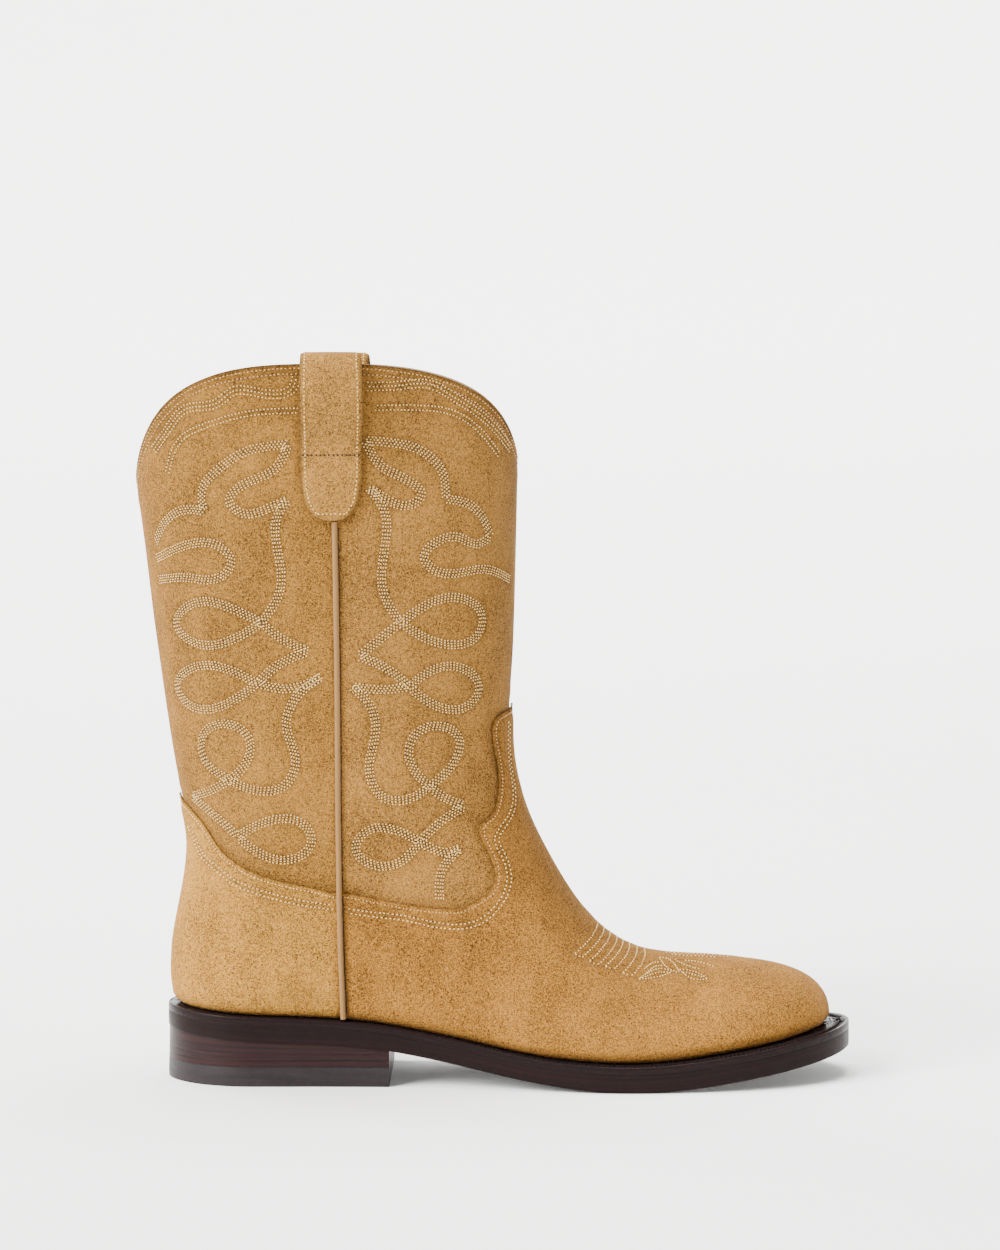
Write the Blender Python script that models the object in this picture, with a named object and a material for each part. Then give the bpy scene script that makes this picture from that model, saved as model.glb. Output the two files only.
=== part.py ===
"""Western pull-on boot, right foot: suede uppers, lined shaft, welted leather sole, stacked heel.

Frame: +X toe, -Y outer side of the foot, +Z up, heel and ball standing on z = 0.
All design numbers are millimetres; MM turns them into metres when a mesh is made.
"""

import math

import bmesh
import bpy
import numpy as np
from mathutils.geometry import delaunay_2d_cdt

# ---------------------------------------------------------------- driving dimensions
MM = 0.001
RIM_SIDE = 293.0          # height of the scalloped top line at the sides
GAP = 0.3                 # clearance between touching pieces
LINING = (-1.5, -0.3)     # layer offsets from the last surface
MIDDLE = (0.0, 1.3)
OUTER = (1.75, 3.0)
FLANGE = 8.0              # lasting allowance turned under the insole board
FLANGE_SCALE = 80.0       # millimetres of allowance for a level of -1
WALL_FOOT = 4.3           # height above the welt where the upper's wall starts
WELT_T = 3.0
WELT_IN = -7.0            # inner edge of the welt, from the last
BOARD = (2.1, 4.0)        # insole board, heights above the welt
FOOTBED = (4.3, 7.4)
HEEL_BREAST = -42.5
HEEL_FLARE = (4.9, 0.02)  # heel edge outside the last at the floor, less per mm of height
TOP_LIFT = (0.0, 8.0)
LIFTS = ((8.3, 10.5), (10.8, 13.0))
HEEL_BASE_Z = 13.3
STRAP_X, STRAP_HALF, STRAP_T = -65.0, 12.0, 2.2
PIPING_HALF, PIPING_H = 1.25, 1.7
NAILS = ((-118, 0), (-110, 12), (-110, -12), (-84, 15), (-84, -15))
COLUMN = math.radians(7.5)  # spacing of the lattice columns round the boot
UNDER = -FLANGE / FLANGE_SCALE

# level, back x, back z, front x, front z of the last's side profile
PROFILE = [
    (0.00, -128.9, 30.3, 135.6, 20.5),
    (0.03, -129.6, 33.5, 135.6, 27.0),
    (0.06, -130.2, 37.0, 133.2, 33.0),
    (0.09, -130.7, 41.0, 127.5, 38.0),
    (0.12, -130.8, 45.0, 118.0, 41.8),
    (0.16, -130.6, 50.5, 102.0, 44.6),
    (0.20, -130.1, 56.5, 84.0, 46.3),
    (0.24, -129.0, 63.0, 66.0, 47.9),
    (0.28, -127.4, 71.0, 50.5, 53.6),
    (0.32, -125.7, 80.0, 38.0, 63.6),
    (0.36, -124.4, 89.5, 28.1, 76.4),
    (0.40, -124.2, 99.0, 19.0, 92.0),
    (0.44, -125.6, 108.5, 11.6, 107.5),
    (0.48, -127.7, 118.0, 7.3, 121.5),
    (0.54, -130.4, 132.0, 5.0, 137.0),
    (0.60, -132.6, 146.0, 4.8, 151.5),
    (0.70, -135.9, 169.5, 6.1, 172.5),
    (0.80, -139.0, 193.0, 7.0, 196.5),
    (0.90, -141.9, 218.0, 7.7, 225.0),
    (1.00, -145.6, 246.0, 8.3, 256.0),
]
SEAM_AT = [(20, -61.0), (50, -62.2), (80, -62.9), (160, -63.1), (231, -63.8), (310, -64.6)]
VAMP_EDGE = [(8.4, 152.6), (-0.2, 149.4), (-0.6, 132), (-0.6, 113), (-2.0, 109.8), (-6.6, 105.6),
             (-6.2, 101), (-2.2, 92.4), (-0.2, 85), (-1.4, 80), (-5.8, 76.3), (-12.4, 73),
             (-23, 72.8), (-36, 74.4), (-48, 76.8)]
COUNTER_EDGE = [(-130.5, 117), (-127, 115), (-121.8, 110.9), (-116.1, 104.5), (-111.4, 97.5),
                (-106, 92.2), (-99, 88.1), (-91.6, 85.4), (-84.3, 83.4), (-74.2, 81.3)]


def spline(knots):
    """Natural cubic spline through (t, v) pairs, as a function of t."""
    t = np.array([k[0] for k in knots], float)
    v = np.array([k[1] for k in knots], float)
    n, h = len(t), np.diff(t)
    a, r = np.eye(n), np.zeros(n)
    for i in range(1, n - 1):
        a[i, i - 1:i + 2] = h[i - 1], 2 * (h[i - 1] + h[i]), h[i]
        r[i] = 6 * ((v[i + 1] - v[i]) / h[i] - (v[i] - v[i - 1]) / h[i - 1])
    m = np.linalg.solve(a, r)

    def value(x):
        x = np.asarray(x, float)
        i = np.clip(np.searchsorted(t, x) - 1, 0, n - 2)
        p = (t[i + 1] - x) / h[i]
        q = 1 - p
        bend = ((p**3 - p) * m[i] + (q**3 - q) * m[i + 1]) * h[i]**2 / 6
        return p * v[i] + q * v[i + 1] + bend
    return value


def smooth(x):
    x = np.clip(x, 0, 1)
    return x * x * (3 - 2 * x)


XB = spline([(p[0], p[1]) for p in PROFILE])
ZB = spline([(p[0], p[2]) for p in PROFILE])
XF = spline([(p[0], p[3]) for p in PROFILE])
ZF = spline([(p[0], p[4]) for p in PROFILE])
SEAM_X = spline(SEAM_AT)
# top of the welt along the boot, and the underside of the outsole
FEATHER = spline([(-140, 31.0), (-131, 30.3), (-115, 29.2), (-97, 28.2), (-80, 27.5), (-61, 26.5),
                  (-46, 24.9), (-31, 22.3), (-16, 19.5), (0, 16.2), (14, 13.6), (28, 11.8),
                  (42, 10.8), (56, 10.5), (70, 11.2), (85, 12.8), (100, 14.9), (115, 17.1),
                  (126, 18.9), (136, 20.5), (150, 22.9)])
TREAD = spline([(-140, 22.0), (-115, 19.6), (-80, 17.6), (-61, 16.7), (-46, 15.2), (-31, 12.7),
                (-16, 9.8), (0, 6.5), (14, 3.9), (28, 1.9), (40, 0.5), (50, 0.0), (62, -0.1),
                (72, 0.0), (85, 1.6), (100, 4.1), (114, 6.2), (130, 8.9), (141, 11.0), (150, 13.1)])
FOOT_HALF = spline([(-131, 27), (-100, 27.6), (-60, 27.3), (-25, 27.6), (5, 31.4), (35, 36.8),
                    (60, 39.6), (85, 40), (110, 38.5), (136, 36)])
CENTRE = spline([(-131, 0), (-60, 0.2), (-20, -1.6), (20, -2.2), (50, -0.8), (80, 1.2),
                 (110, 3.2), (140, 4.6)])
SHAFT_HALF = spline([(20, 27.6), (30, 27.8), (60, 29.3), (90, 30.6), (120, 33.6), (150, 37.2),
                     (190, 41), (230, 44), (260, 45.5), (293, 46.5), (310, 46.8)])
BACK_ROUND = spline([(20, 31), (30, 31), (60, 33), (90, 40), (120, 52), (150, 62), (200, 70),
                     (260, 76), (310, 77)])
FRONT_ROUND = spline([(0, 52), (0.06, 48), (0.12, 42.5), (0.2, 41), (0.28, 44), (0.36, 49),
                      (0.44, 57), (0.54, 66), (0.7, 72), (1, 76), (1.1, 77)])
# how far the welt stands out past the upper, along the boot
LIP = spline([(-131, 1.9), (-60, 2.0), (-10, 2.6), (30, 4.2), (70, 5.2), (110, 6.4), (136, 8.13)])
STRAP_WIDTH = spline([(230.9, 2.2), (231.7, 4.9), (233.5, 7.5), (236, 9.3), (240, 10.8),
                      (246, 11.7), (254, STRAP_HALF), (262, STRAP_HALF), (300, STRAP_HALF)])
# strap centreline: distance outside the last, height; up the outside, over the rim, down inside
STRAP_PATH = [(2.9, 230.9), (2.9, 231.7), (2.9, 233.5), (2.9, 236), (2.9, 240), (2.9, 246),
              (2.9, 253), (3.0, 258), (4.4, 263), (7.2, 268), (9.6, 274), (10.5, 280),
              (9.9, 286), (8.0, 291), (5.0, 294.8), (1.2, 296.4), (-2.6, 295), (-5.2, 291.4),
              (-6.2, 286), (-5.6, 278), (-4.2, 269), (-3.2, 261), (-3.0, 254), (-3.0, 248)]

LEVELS = np.linspace(0, 1.15, 240)


# ---------------------------------------------------------------- the last surface
def profile_edge(x_at, z_at):
    """A profile as a dense polyline, run straight down below the foot: x, z, level."""
    down = np.arange(60, 0, -1.5)
    x, z = x_at(LEVELS), z_at(LEVELS)
    return (np.concatenate([x[0] + 0 * down, x]), np.concatenate([z[0] - down, z]),
            np.concatenate([0 * down, LEVELS]))


EDGES = profile_edge(XB, ZB), profile_edge(XF, ZF)


def distance(x, z, edge):
    """Distance of each (x, z) from a profile, softened inside bends, and the level it faces."""
    px, pz, levels = edge
    dx, dz = x[..., None] - px, z[..., None] - pz
    share = np.hypot(np.gradient(px), np.gradient(pz)) / (dx**2 + dz**2 + 1)**3
    total = share.sum(-1)
    soft = (1.178 / total)**0.2
    k = np.clip((dx**2 + dz**2).argmin(-1), 1, len(px) - 2)
    true = np.full(x.shape, 1e9)
    for i in (k - 1, k):
        ux, uz = px[i + 1] - px[i], pz[i + 1] - pz[i]
        f = np.clip(((x - px[i]) * ux + (z - pz[i]) * uz) / (ux**2 + uz**2), 0, 1)
        true = np.minimum(true, np.hypot(x - px[i] - f * ux, z - pz[i] - f * uz))
    mix = smooth((true - 2) / 8)
    return true + (soft - true) * mix, (share * levels).sum(-1) / total


def roundness(r):
    return np.sqrt(np.clip(1 - (1 - np.clip(r, 0, 1))**2, 0, 1))


def half_width(x, z):
    x, z = np.broadcast_arrays(np.asarray(x, float), np.asarray(z, float))
    to_back, _ = distance(x, z, EDGES[0])
    to_front, level = distance(x, z, EDGES[1])
    lift = smooth((z - 40) / 75)
    amp = (1 - lift) * FOOT_HALF(np.clip(x, -131, 136)) + lift * SHAFT_HALF(z)
    front = roundness(to_front / FRONT_ROUND(np.clip(level, 0, 1.1)))
    return amp * front * roundness(to_back / BACK_ROUND(z))


def centre(x, z):
    return CENTRE(np.clip(x, -131, 140)) * (1 - smooth((z - 45) / 60))


def loop(s, t):
    """Side-view (x, z) at share s from back to front of level t."""
    xb, zb, xf, zf = XB(t), ZB(t), XF(t), ZF(t)
    x, z = xb + (xf - xb) * s, zb + (zf - zb) * s
    x0 = XB(0.) + (XF(0.) - XB(0.)) * s
    sag = (FEATHER(x0) - (ZB(0.) + (ZF(0.) - ZB(0.)) * s)) * np.clip(1 - t / 0.46, 0, 1)**2
    bow = -40 * s * (1 - s) * smooth(t / 0.12) * (1 - smooth((t - 0.2) / 0.26))
    theta = np.arccos(np.clip(1 - 2 * s, -1, 1))
    a = np.minimum(theta, math.pi - theta) / (math.pi / 2)
    soft = 0.09
    a = (np.sqrt(a * a + soft * soft) - soft) / (math.sqrt(1 + soft * soft) - soft)
    rim = (RIM_SIDE - (ZB(1.) + (ZF(1.) - ZB(1.)) * s)) * (1 - (1 - a)**2.6)
    return x, z + sag + bow + smooth((t - 0.55) / 0.45) * rim


def raw_surface(theta, t):
    theta, t = np.broadcast_arrays(np.asarray(theta, float), np.asarray(t, float))
    x, z = loop((1 - np.cos(theta)) / 2, t)
    side = np.where(np.abs(np.sin(theta)) < 1e-9, 0, np.sign(np.sin(theta)))
    return np.stack([x, centre(x, z) - side * half_width(x, z), z], -1)


def foot_levels():
    """The level at which the wall is WALL_FOOT above the welt, round the boot."""
    theta = np.linspace(0, 2 * math.pi, 145)
    low, high = np.zeros_like(theta), np.full_like(theta, 0.15)
    for _ in range(30):
        mid = (low + high) / 2
        p = raw_surface(theta, mid)
        under = p[:, 2] < FEATHER(p[:, 0]) + WALL_FOOT
        low, high = np.where(under, mid, low), np.where(under, high, mid)
    return theta, mid


FOOT_THETA, FOOT_LEVEL = foot_levels()


def wall(theta, t):
    foot = np.interp(np.mod(theta, 2 * math.pi), FOOT_THETA, FOOT_LEVEL)
    t = np.asarray(t, float)
    return raw_surface(theta, t + np.clip(1 - t / 0.3, 0, 2) * foot)


def wall_normal(theta, t, e=3e-3):
    a = wall(theta + e, t) - wall(theta - e, t)
    b = wall(theta, t + e) - wall(theta, t - e)
    n = np.cross(a, b)
    return n / np.linalg.norm(n, axis=-1, keepdims=True)


def skin(theta, t, h):
    """Point h outside the last. Levels below 0 run round the feather edge and under the board."""
    theta, t = np.broadcast_arrays(np.asarray(theta, float), np.asarray(t, float))
    p, n = wall(theta, np.maximum(t, 0)), wall_normal(theta, np.maximum(t, 0))
    inward = np.maximum(-t, 0)[..., None] * FLANGE_SCALE
    flat = n * (1, 1, 0)
    flat /= np.linalg.norm(flat, axis=-1, keepdims=True)
    under = p - flat * inward
    under[..., 2] = np.where(inward[..., 0] > 0, FEATHER(under[..., 0]) + WALL_FOOT
                             - np.minimum(inward[..., 0], 1), p[..., 2])
    turn = np.minimum(inward, 1) * math.pi / 2
    n = n * np.cos(turn) + np.array((0, 0, -1)) * np.sin(turn)
    return under + n / np.linalg.norm(n, axis=-1, keepdims=True) * h


def theta_at(x, z):
    """(theta, t) of a side-view point on the outer half, by Newton steps."""
    q = np.array([math.pi / 2, 0.4])
    for _ in range(40):
        p = wall(q[0], q[1])[[0, 2]]
        a = (wall(q[0] + 1e-4, q[1])[[0, 2]] - p) / 1e-4
        b = (wall(q[0], q[1] + 1e-4)[[0, 2]] - p) / 1e-4
        step = np.linalg.solve(np.stack([a, b], 1), np.array([x, z]) - p)
        q = q + np.clip(step, -0.2, 0.2)
        q = np.clip(q, (0.02, -0.01), (math.pi - 0.02, 1.0))
    return float(q[0]), float(q[1])


def seam_theta(t):
    """Angle of the side seam at level t on the outer half."""
    theta = 1.3
    for _ in range(12):
        p = wall(theta, t)
        share = (SEAM_X(p[2]) - p[0]) / 100
        theta = float(np.clip(theta + share, 0.4, 2.2))
    return theta


def side_point(x, z, side, h):
    """Point h outside the last at (x, z) of the side view; side is -1 outer, 1 inner."""
    def y(a, b):
        return centre(a, b) + side * half_width(a, b)
    e = 0.5
    n = np.array([-(y(x + e, z) - y(x - e, z)) / (2 * e), 1, -(y(x, z + e) - y(x, z - e)) / (2 * e)])
    n = n * side / np.linalg.norm(n)
    return np.array([x, float(y(x, z)), z]) + n * h


def plan(theta, e):
    """Plan point at distance e outside the foot of the wall."""
    p, n = wall(theta, 0.0), wall_normal(theta, 0.0)
    n = n[..., :2] / np.linalg.norm(n[..., :2], axis=-1, keepdims=True)
    return p[..., :2] + n * np.asarray(e)[..., None]


# ---------------------------------------------------------------- mesh helpers
def material(name, colour, roughness, metallic=0.0):
    made = bpy.data.materials.new(name)
    made.use_nodes = True
    shader = made.node_tree.nodes["Principled BSDF"]
    shader.inputs["Base Color"].default_value = (*colour, 1)
    shader.inputs["Roughness"].default_value = roughness
    shader.inputs["Metallic"].default_value = metallic
    return made


def solid(name, points, faces, stuff, angle=40):
    """A closed mesh object from millimetre points, faces turned outwards."""
    mesh = bpy.data.meshes.new(name)
    mesh.from_pydata([tuple(float(c) * MM for c in p) for p in points], [], faces)
    work = bmesh.new()
    work.from_mesh(mesh)
    bmesh.ops.remove_doubles(work, verts=work.verts, dist=1e-6)
    bmesh.ops.recalc_face_normals(work, faces=work.faces)
    if work.calc_volume(signed=True) < 0:
        bmesh.ops.reverse_faces(work, faces=work.faces)
    work.to_mesh(mesh)
    work.free()
    mesh.materials.append(stuff)
    mesh.shade_smooth()
    mesh.set_sharp_from_angle(angle=math.radians(angle))
    made = bpy.data.objects.new(name, mesh)
    bpy.context.scene.collection.objects.link(made)
    return made


def inside(points, polygon):
    """Which points lie inside the polygon and clear of its edges."""
    x, y = points[:, 0][:, None], points[:, 1][:, None]
    a, b = polygon, np.roll(polygon, -1, 0)
    crosses = (a[:, 1] > y) != (b[:, 1] > y)
    rise = np.where(b[:, 1] == a[:, 1], 1e-12, b[:, 1] - a[:, 1])
    hit = crosses & (x < a[:, 0] + (y - a[:, 1]) / rise * (b[:, 0] - a[:, 0]))
    d = b - a
    f = np.clip(((x - a[:, 0]) * d[:, 0] + (y - a[:, 1]) * d[:, 1]) / (d**2).sum(1), 0, 1)
    near = np.hypot(x - a[:, 0] - f * d[:, 0], y - a[:, 1] - f * d[:, 1]).min(1)
    return (hit.sum(1) % 2 == 1) & (near > 2.2)


ROWS = np.array([-0.0125, -0.006, 0.0, 0.03, 0.06, 0.09, 0.125, 0.165, 0.205, 0.245, 0.285, 0.325,
                 0.365, 0.41, 0.455, 0.51, 0.6, 0.7, 0.8, 0.9])
SCALE = np.array((90.0, 250.0))


def sheet(name, outline, layer, stuff):
    """A leather piece: the (theta, t) outline filled on the shared lattice, then given thickness."""
    edge = np.array(outline) * SCALE
    columns = np.arange(-24, 49) * COLUMN
    grid = np.array([(a, t) for a in columns for t in ROWS]) * SCALE
    points = np.concatenate([edge, grid[inside(grid, edge)]])
    ring = [(i, (i + 1) % len(edge)) for i in range(len(edge))]
    verts, _, tris, *_ = delaunay_2d_cdt([tuple(p) for p in points], ring, [], 1, 1e-6)
    uv = np.array([tuple(v) for v in verts]) / SCALE
    inner, outer = skin(uv[:, 0], uv[:, 1], layer[0]), skin(uv[:, 0], uv[:, 1], layer[1])
    n = len(uv)
    faces = [tuple(t) for t in tris]
    sides = {}
    for tri in faces:
        for i in range(3):
            sides.setdefault(frozenset((tri[i], tri[i - 1])), []).append((tri[i - 1], tri[i]))
    walls = [pair[0] for pair in sides.values() if len(pair) == 1]
    faces = [tuple(i + n for i in f) for f in faces] + [f[::-1] for f in faces] + \
            [(a, b, b + n, a + n) for a, b in walls]
    return solid(name, np.concatenate([inner, outer]), faces, stuff)


def slab(name, thetas, e_low, e_high, low, high, stuff, closed_front=True):
    """Flat piece under the foot: rings of plan points at two heights, joined across the boot."""
    near, far = np.array(thetas), -np.array(thetas)
    rings = []
    for e, z in ((e_low, low), (e_high, high)):
        for side in (near, far):
            p = plan(side, e(plan(side, 0 * side)[:, 0]))
            rings.append(np.column_stack([p, z(p[:, 0])]))
    n = len(thetas)
    points = np.concatenate(rings)
    nl, fl, nh, fh = (k * n for k in range(4))
    faces = []
    for i in range(n - 1):
        faces += [(nl + i, fl + i, fl + i + 1, nl + i + 1), (nh + i, nh + i + 1, fh + i + 1, fh + i),
                  (nl + i, nl + i + 1, nh + i + 1, nh + i), (fl + i, fh + i, fh + i + 1, fl + i + 1)]
    for i, shut in ((0, abs(thetas[0]) > 1e-9), (n - 1, not closed_front)):
        if shut:
            faces.append((nl + i, nh + i, fh + i, fl + i))
    return solid(name, points, clean(faces, points), stuff, 30)


def clean(faces, points):
    """Drop repeated corners where the two sides of a slab meet at its tip."""
    out = []
    for face in faces:
        keep = [i for k, i in enumerate(face)
                if np.linalg.norm(points[i] - points[face[k - 1]]) > 1e-6]
        if len(keep) > 2:
            out.append(tuple(keep))
    return out


def loft(name, rings, stuff):
    """A solid through equal closed rings, capped at both ends."""
    m = len(rings[0])
    faces = [tuple(range(m))[::-1], tuple((len(rings) - 1) * m + i for i in range(m))]
    for r in range(len(rings) - 1):
        for i in range(m):
            j = (i + 1) % m
            faces.append((r * m + i, r * m + j, (r + 1) * m + j, (r + 1) * m + i))
    return solid(name, np.concatenate(rings), faces, stuff)


def spin(name, x, y, profile, stuff, sides=12):
    """A turned solid about a vertical axis; profile is (radius, z) from the bottom up."""
    rings = [[(x + r * math.cos(k * 2 * math.pi / sides), y + r * math.sin(k * 2 * math.pi / sides), z)
              for k in range(sides)] for r, z in profile]
    return loft(name, [np.array(r) for r in rings], stuff)


def cut(target, cutters):
    """Cut the nail holes out of a piece."""
    for cutter in cutters:
        change = target.modifiers.new("hole", "BOOLEAN")
        change.operation, change.solver, change.object = "DIFFERENCE", "EXACT", cutter


# ---------------------------------------------------------------- outlines of the upper
def spaced(run, step=5.0):
    """The (theta, t) points of a dense run that lie at least step apart on the last."""
    keep = [run[0]]
    for p in run[1:-1]:
        if np.linalg.norm(wall(*p) - wall(*keep[-1])) > step:
            keep.append(p)
    return keep + [run[-1]]


def curve(points):
    """Side-view polyline turned into evenly spaced (theta, t) pairs."""
    points = np.array(points, float)
    run = np.concatenate([[0], np.cumsum(np.hypot(*np.diff(points, axis=0).T))])
    at = np.linspace(0, run[-1], int(run[-1] / 0.8))
    xs, zs = np.interp(at, run, points[:, 0]), np.interp(at, run, points[:, 1])
    return spaced([theta_at(x, z) for x, z in zip(xs, zs)])


def level_at_seam(z):
    """Level at which the seam crosses height z."""
    levels = np.linspace(0, 1, 101)
    heights = [wall(seam_theta(t), t)[2] for t in levels]
    return float(np.interp(z, heights, levels))


def seam_run(t_low, t_high, shift):
    """Seam points going up from t_low to t_high, shifted along the boot by half the gap."""
    levels = [t_low] + [t for t in ROWS if t_low + 0.012 < t < t_high - 0.012] + [t_high]
    return [(seam_theta(max(t, 0)) + shift, t) for t in levels]


def mirror(run):
    """The same run on the inner half of a front piece, in reverse."""
    return [(2 * math.pi - a, t) for a, t in reversed(run)]


def along(t, a0, a1):
    """Lattice columns strictly between two angles at one level."""
    ks = np.arange(math.ceil(a0 / COLUMN + 0.3), math.floor(a1 / COLUMN - 0.3) + 1)
    return [(k * COLUMN, t) for k in ks]


def front_outline(t_low, t_high, shift=0.002):
    up = seam_run(t_low, t_high, shift)
    a0, a1 = up[0][0], up[-1][0]
    over = along(t_high, a1, 2 * math.pi - a1)
    under = along(t_low, a0, 2 * math.pi - a0)
    return (up + over + mirror(up) + under[::-1])[::-1]


def back_outline(t_low, t_high, shift=0.002):
    up = seam_run(t_low, t_high, -shift)
    down = [(-a, t) for a, t in reversed(up)]
    a0, a1 = up[0][0], up[-1][0]
    return down + along(t_low, -a0, a0) + up + along(t_high, -a1, a1)[::-1]


SUEDE = (0.56, 0.38, 0.17)
LEATHER = (0.62, 0.50, 0.36)
DARK = (0.055, 0.035, 0.036)


# ---------------------------------------------------------------- the pieces of the upper
def make_vamp():
    edge = curve(VAMP_EDGE[::-1])
    top = level_at_seam(79.0)
    up = seam_run(UNDER, top, 0.002)
    half = up + [p for p in edge if p[0] > up[-1][0] + 0.04]
    over = along(half[-1][1], half[-1][0], 2 * math.pi - half[-1][0])
    under = along(UNDER, up[0][0], 2 * math.pi - up[0][0])
    ring = half + over + mirror(half) + under[::-1]
    return sheet("vamp", ring[::-1], OUTER, material("vamp_suede", SUEDE, 0.95))


def make_counter_cover():
    edge = curve(COUNTER_EDGE)
    top = level_at_seam(79.0)
    up = seam_run(UNDER, top, -0.002)
    half = [p for p in edge if p[0] < up[-1][0] - 0.04]
    over = along(half[0][1], -half[0][0], half[0][0])
    down = [(-a, t) for a, t in reversed(up)]
    upper = up + half[::-1] + over[::-1] + [(-a, t) for a, t in half]
    ring = down + along(UNDER, -up[0][0], up[0][0]) + upper
    return sheet("counter_cover", ring, OUTER, material("counter_suede", SUEDE, 0.95))


def make_shaft_front():
    return sheet("shaft_front", front_outline(0.205, 1.0), MIDDLE,
                 material("shaft_front_suede", (0.47, 0.32, 0.14), 0.95))


def make_shaft_back():
    return sheet("shaft_back", back_outline(0.2475, 1.0), MIDDLE,
                 material("shaft_back_suede", (0.50, 0.33, 0.15), 0.95))


def make_toe_stiffener():
    a0 = math.radians(116)
    side = spaced([(a0 + 0.85 * (t / 0.165)**2, t) for t in np.linspace(0.015, 0.165, 120)])
    top = along(0.165, side[-1][0], 2 * math.pi - side[-1][0])
    under = along(0.015, a0, 2 * math.pi - a0)
    ring = side + top + mirror(side) + under[::-1]
    return sheet("toe_stiffener", ring[::-1], MIDDLE, material("toe_fibre", (0.42, 0.36, 0.28), 0.8))


def make_heel_stiffener():
    return sheet("heel_stiffener", back_outline(0.015, 0.245, 0.02), MIDDLE,
                 material("heel_fibre", (0.42, 0.36, 0.28), 0.8))


def make_shaft_lining_front():
    return sheet("shaft_lining_front", front_outline(0.2475, 1.0), LINING,
                 material("shaft_lining_front_leather", LEATHER, 0.7))


def make_shaft_lining_back():
    return sheet("shaft_lining_back", back_outline(0.2475, 1.0), LINING,
                 material("shaft_lining_back_leather", LEATHER, 0.7))


def make_vamp_lining():
    return sheet("vamp_lining", front_outline(0.015, 0.245), LINING,
                 material("vamp_lining_leather", LEATHER, 0.7))


def make_counter_lining():
    return sheet("counter_lining", back_outline(0.015, 0.245), LINING,
                 material("counter_lining_leather", LEATHER, 0.7))


def make_side_piping(name, side):
    """A rounded bead over the side seam, stepping up where it crosses the vamp's edge."""
    rings = []
    heights = (27.6, 34, 41, 48, 56, 64, 72, 80, 82, 84.5, 88, 96, 106, 118, 132, 148, 164, 180,
               197, 214, 230.2)
    for z in heights:
        base = 3.3 - 1.7 * float(smooth((z - 80) / 8))
        arc = [math.radians(a) for a in (0, 45, 90, 135, 180)]
        ring = [side_point(SEAM_X(z) + PIPING_HALF * math.cos(a), z, side,
                           base + PIPING_H * math.sin(a)) for a in arc]
        rings.append(np.array(ring))
    return loft(name, rings, material(name + "_leather", (0.58, 0.40, 0.22), 0.6))


def make_pull_strap(name, side):
    """A doubled suede strap sewn outside, standing off the shaft and turned in over the rim."""
    path = np.array(STRAP_PATH)
    d = np.gradient(path, axis=0)
    n = np.column_stack([d[:, 1], -d[:, 0]]) / np.linalg.norm(d, axis=1)[:, None]
    rings = []
    for i, (p, q) in enumerate(zip(path, n)):
        half = float(STRAP_WIDTH(p[1])) if i < 8 else STRAP_HALF
        ring = []
        for face, way in ((STRAP_T / 2, 1), (-STRAP_T / 2, -1)):
            h, z = p + q * face
            ring += [side_point(STRAP_X + a * way, z, side, h) for a in np.linspace(-half, half, 5)]
        rings.append(np.array(ring))
    return loft(name, rings, material(name + "_suede", (0.56, 0.37, 0.16), 0.95))


# ---------------------------------------------------------------- the pieces under the foot
def ring_angles(x_low=None, x_high=None, count=25):
    """Angles from back to front whose plan points lie between two stations."""
    table = np.linspace(0, math.pi, 400)
    x = plan(table, 0 * table)[:, 0]
    a0 = 0.0 if x_low is None else float(np.interp(x_low, x, table))
    a1 = math.pi if x_high is None else float(np.interp(x_high, x, table))
    return np.linspace(a0, a1, count)


def above(lift):
    """A height function a fixed distance above (or below) the welt's top."""
    return lambda x: FEATHER(x) + lift


def level(z):
    return lambda x: 0 * x + z


def outset(e):
    return lambda x: 0 * x + e


def welt_edge(x):
    return OUTER[1] + LIP(np.clip(x, -131, 136))


def heel_edge(z):
    return outset(HEEL_FLARE[0] - HEEL_FLARE[1] * z)


def make_footbed():
    return slab("footbed", ring_angles(count=27), outset(-3.0), outset(-4.6), above(FOOTBED[0]),
                above(FOOTBED[1]), material("footbed_leather", (0.60, 0.46, 0.30), 0.6))


def make_insole_board():
    return slab("insole_board", ring_angles(count=27), outset(-2.2), outset(-2.2), above(BOARD[0]),
                above(BOARD[1]), material("board_fibre", (0.45, 0.38, 0.29), 0.85))


def make_cork_filler():
    return slab("cork_filler", ring_angles(8, None, 17), outset(-10.5), outset(-10.5), above(-2.7),
                above(1.7), material("cork", (0.36, 0.22, 0.12), 0.9))


def make_waist_filler():
    """Felt under the shank, from the heel seat to the cork."""
    return slab("waist_filler", ring_angles(None, 5, 15), outset(-10.5), outset(-10.5), above(-2.7),
                above(-0.2), material("felt", (0.30, 0.28, 0.26), 0.95), False)


def make_shank():
    """Steel strip that stiffens the waist between heel and ball."""
    rings = []
    for x in np.linspace(-96, -2, 12):
        half = 7.0 - 3.0 * abs((x + 49) / 47)**4
        z = float(FEATHER(x))
        y = float(CENTRE(x))
        rings.append(np.array([(x, y - half, z + 0.2), (x, y + half, z + 0.2),
                               (x, y + half, z + 1.7), (x, y - half, z + 1.7)]))
    return loft("shank", rings, material("shank_steel", (0.55, 0.56, 0.58), 0.35, 1.0))


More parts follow.
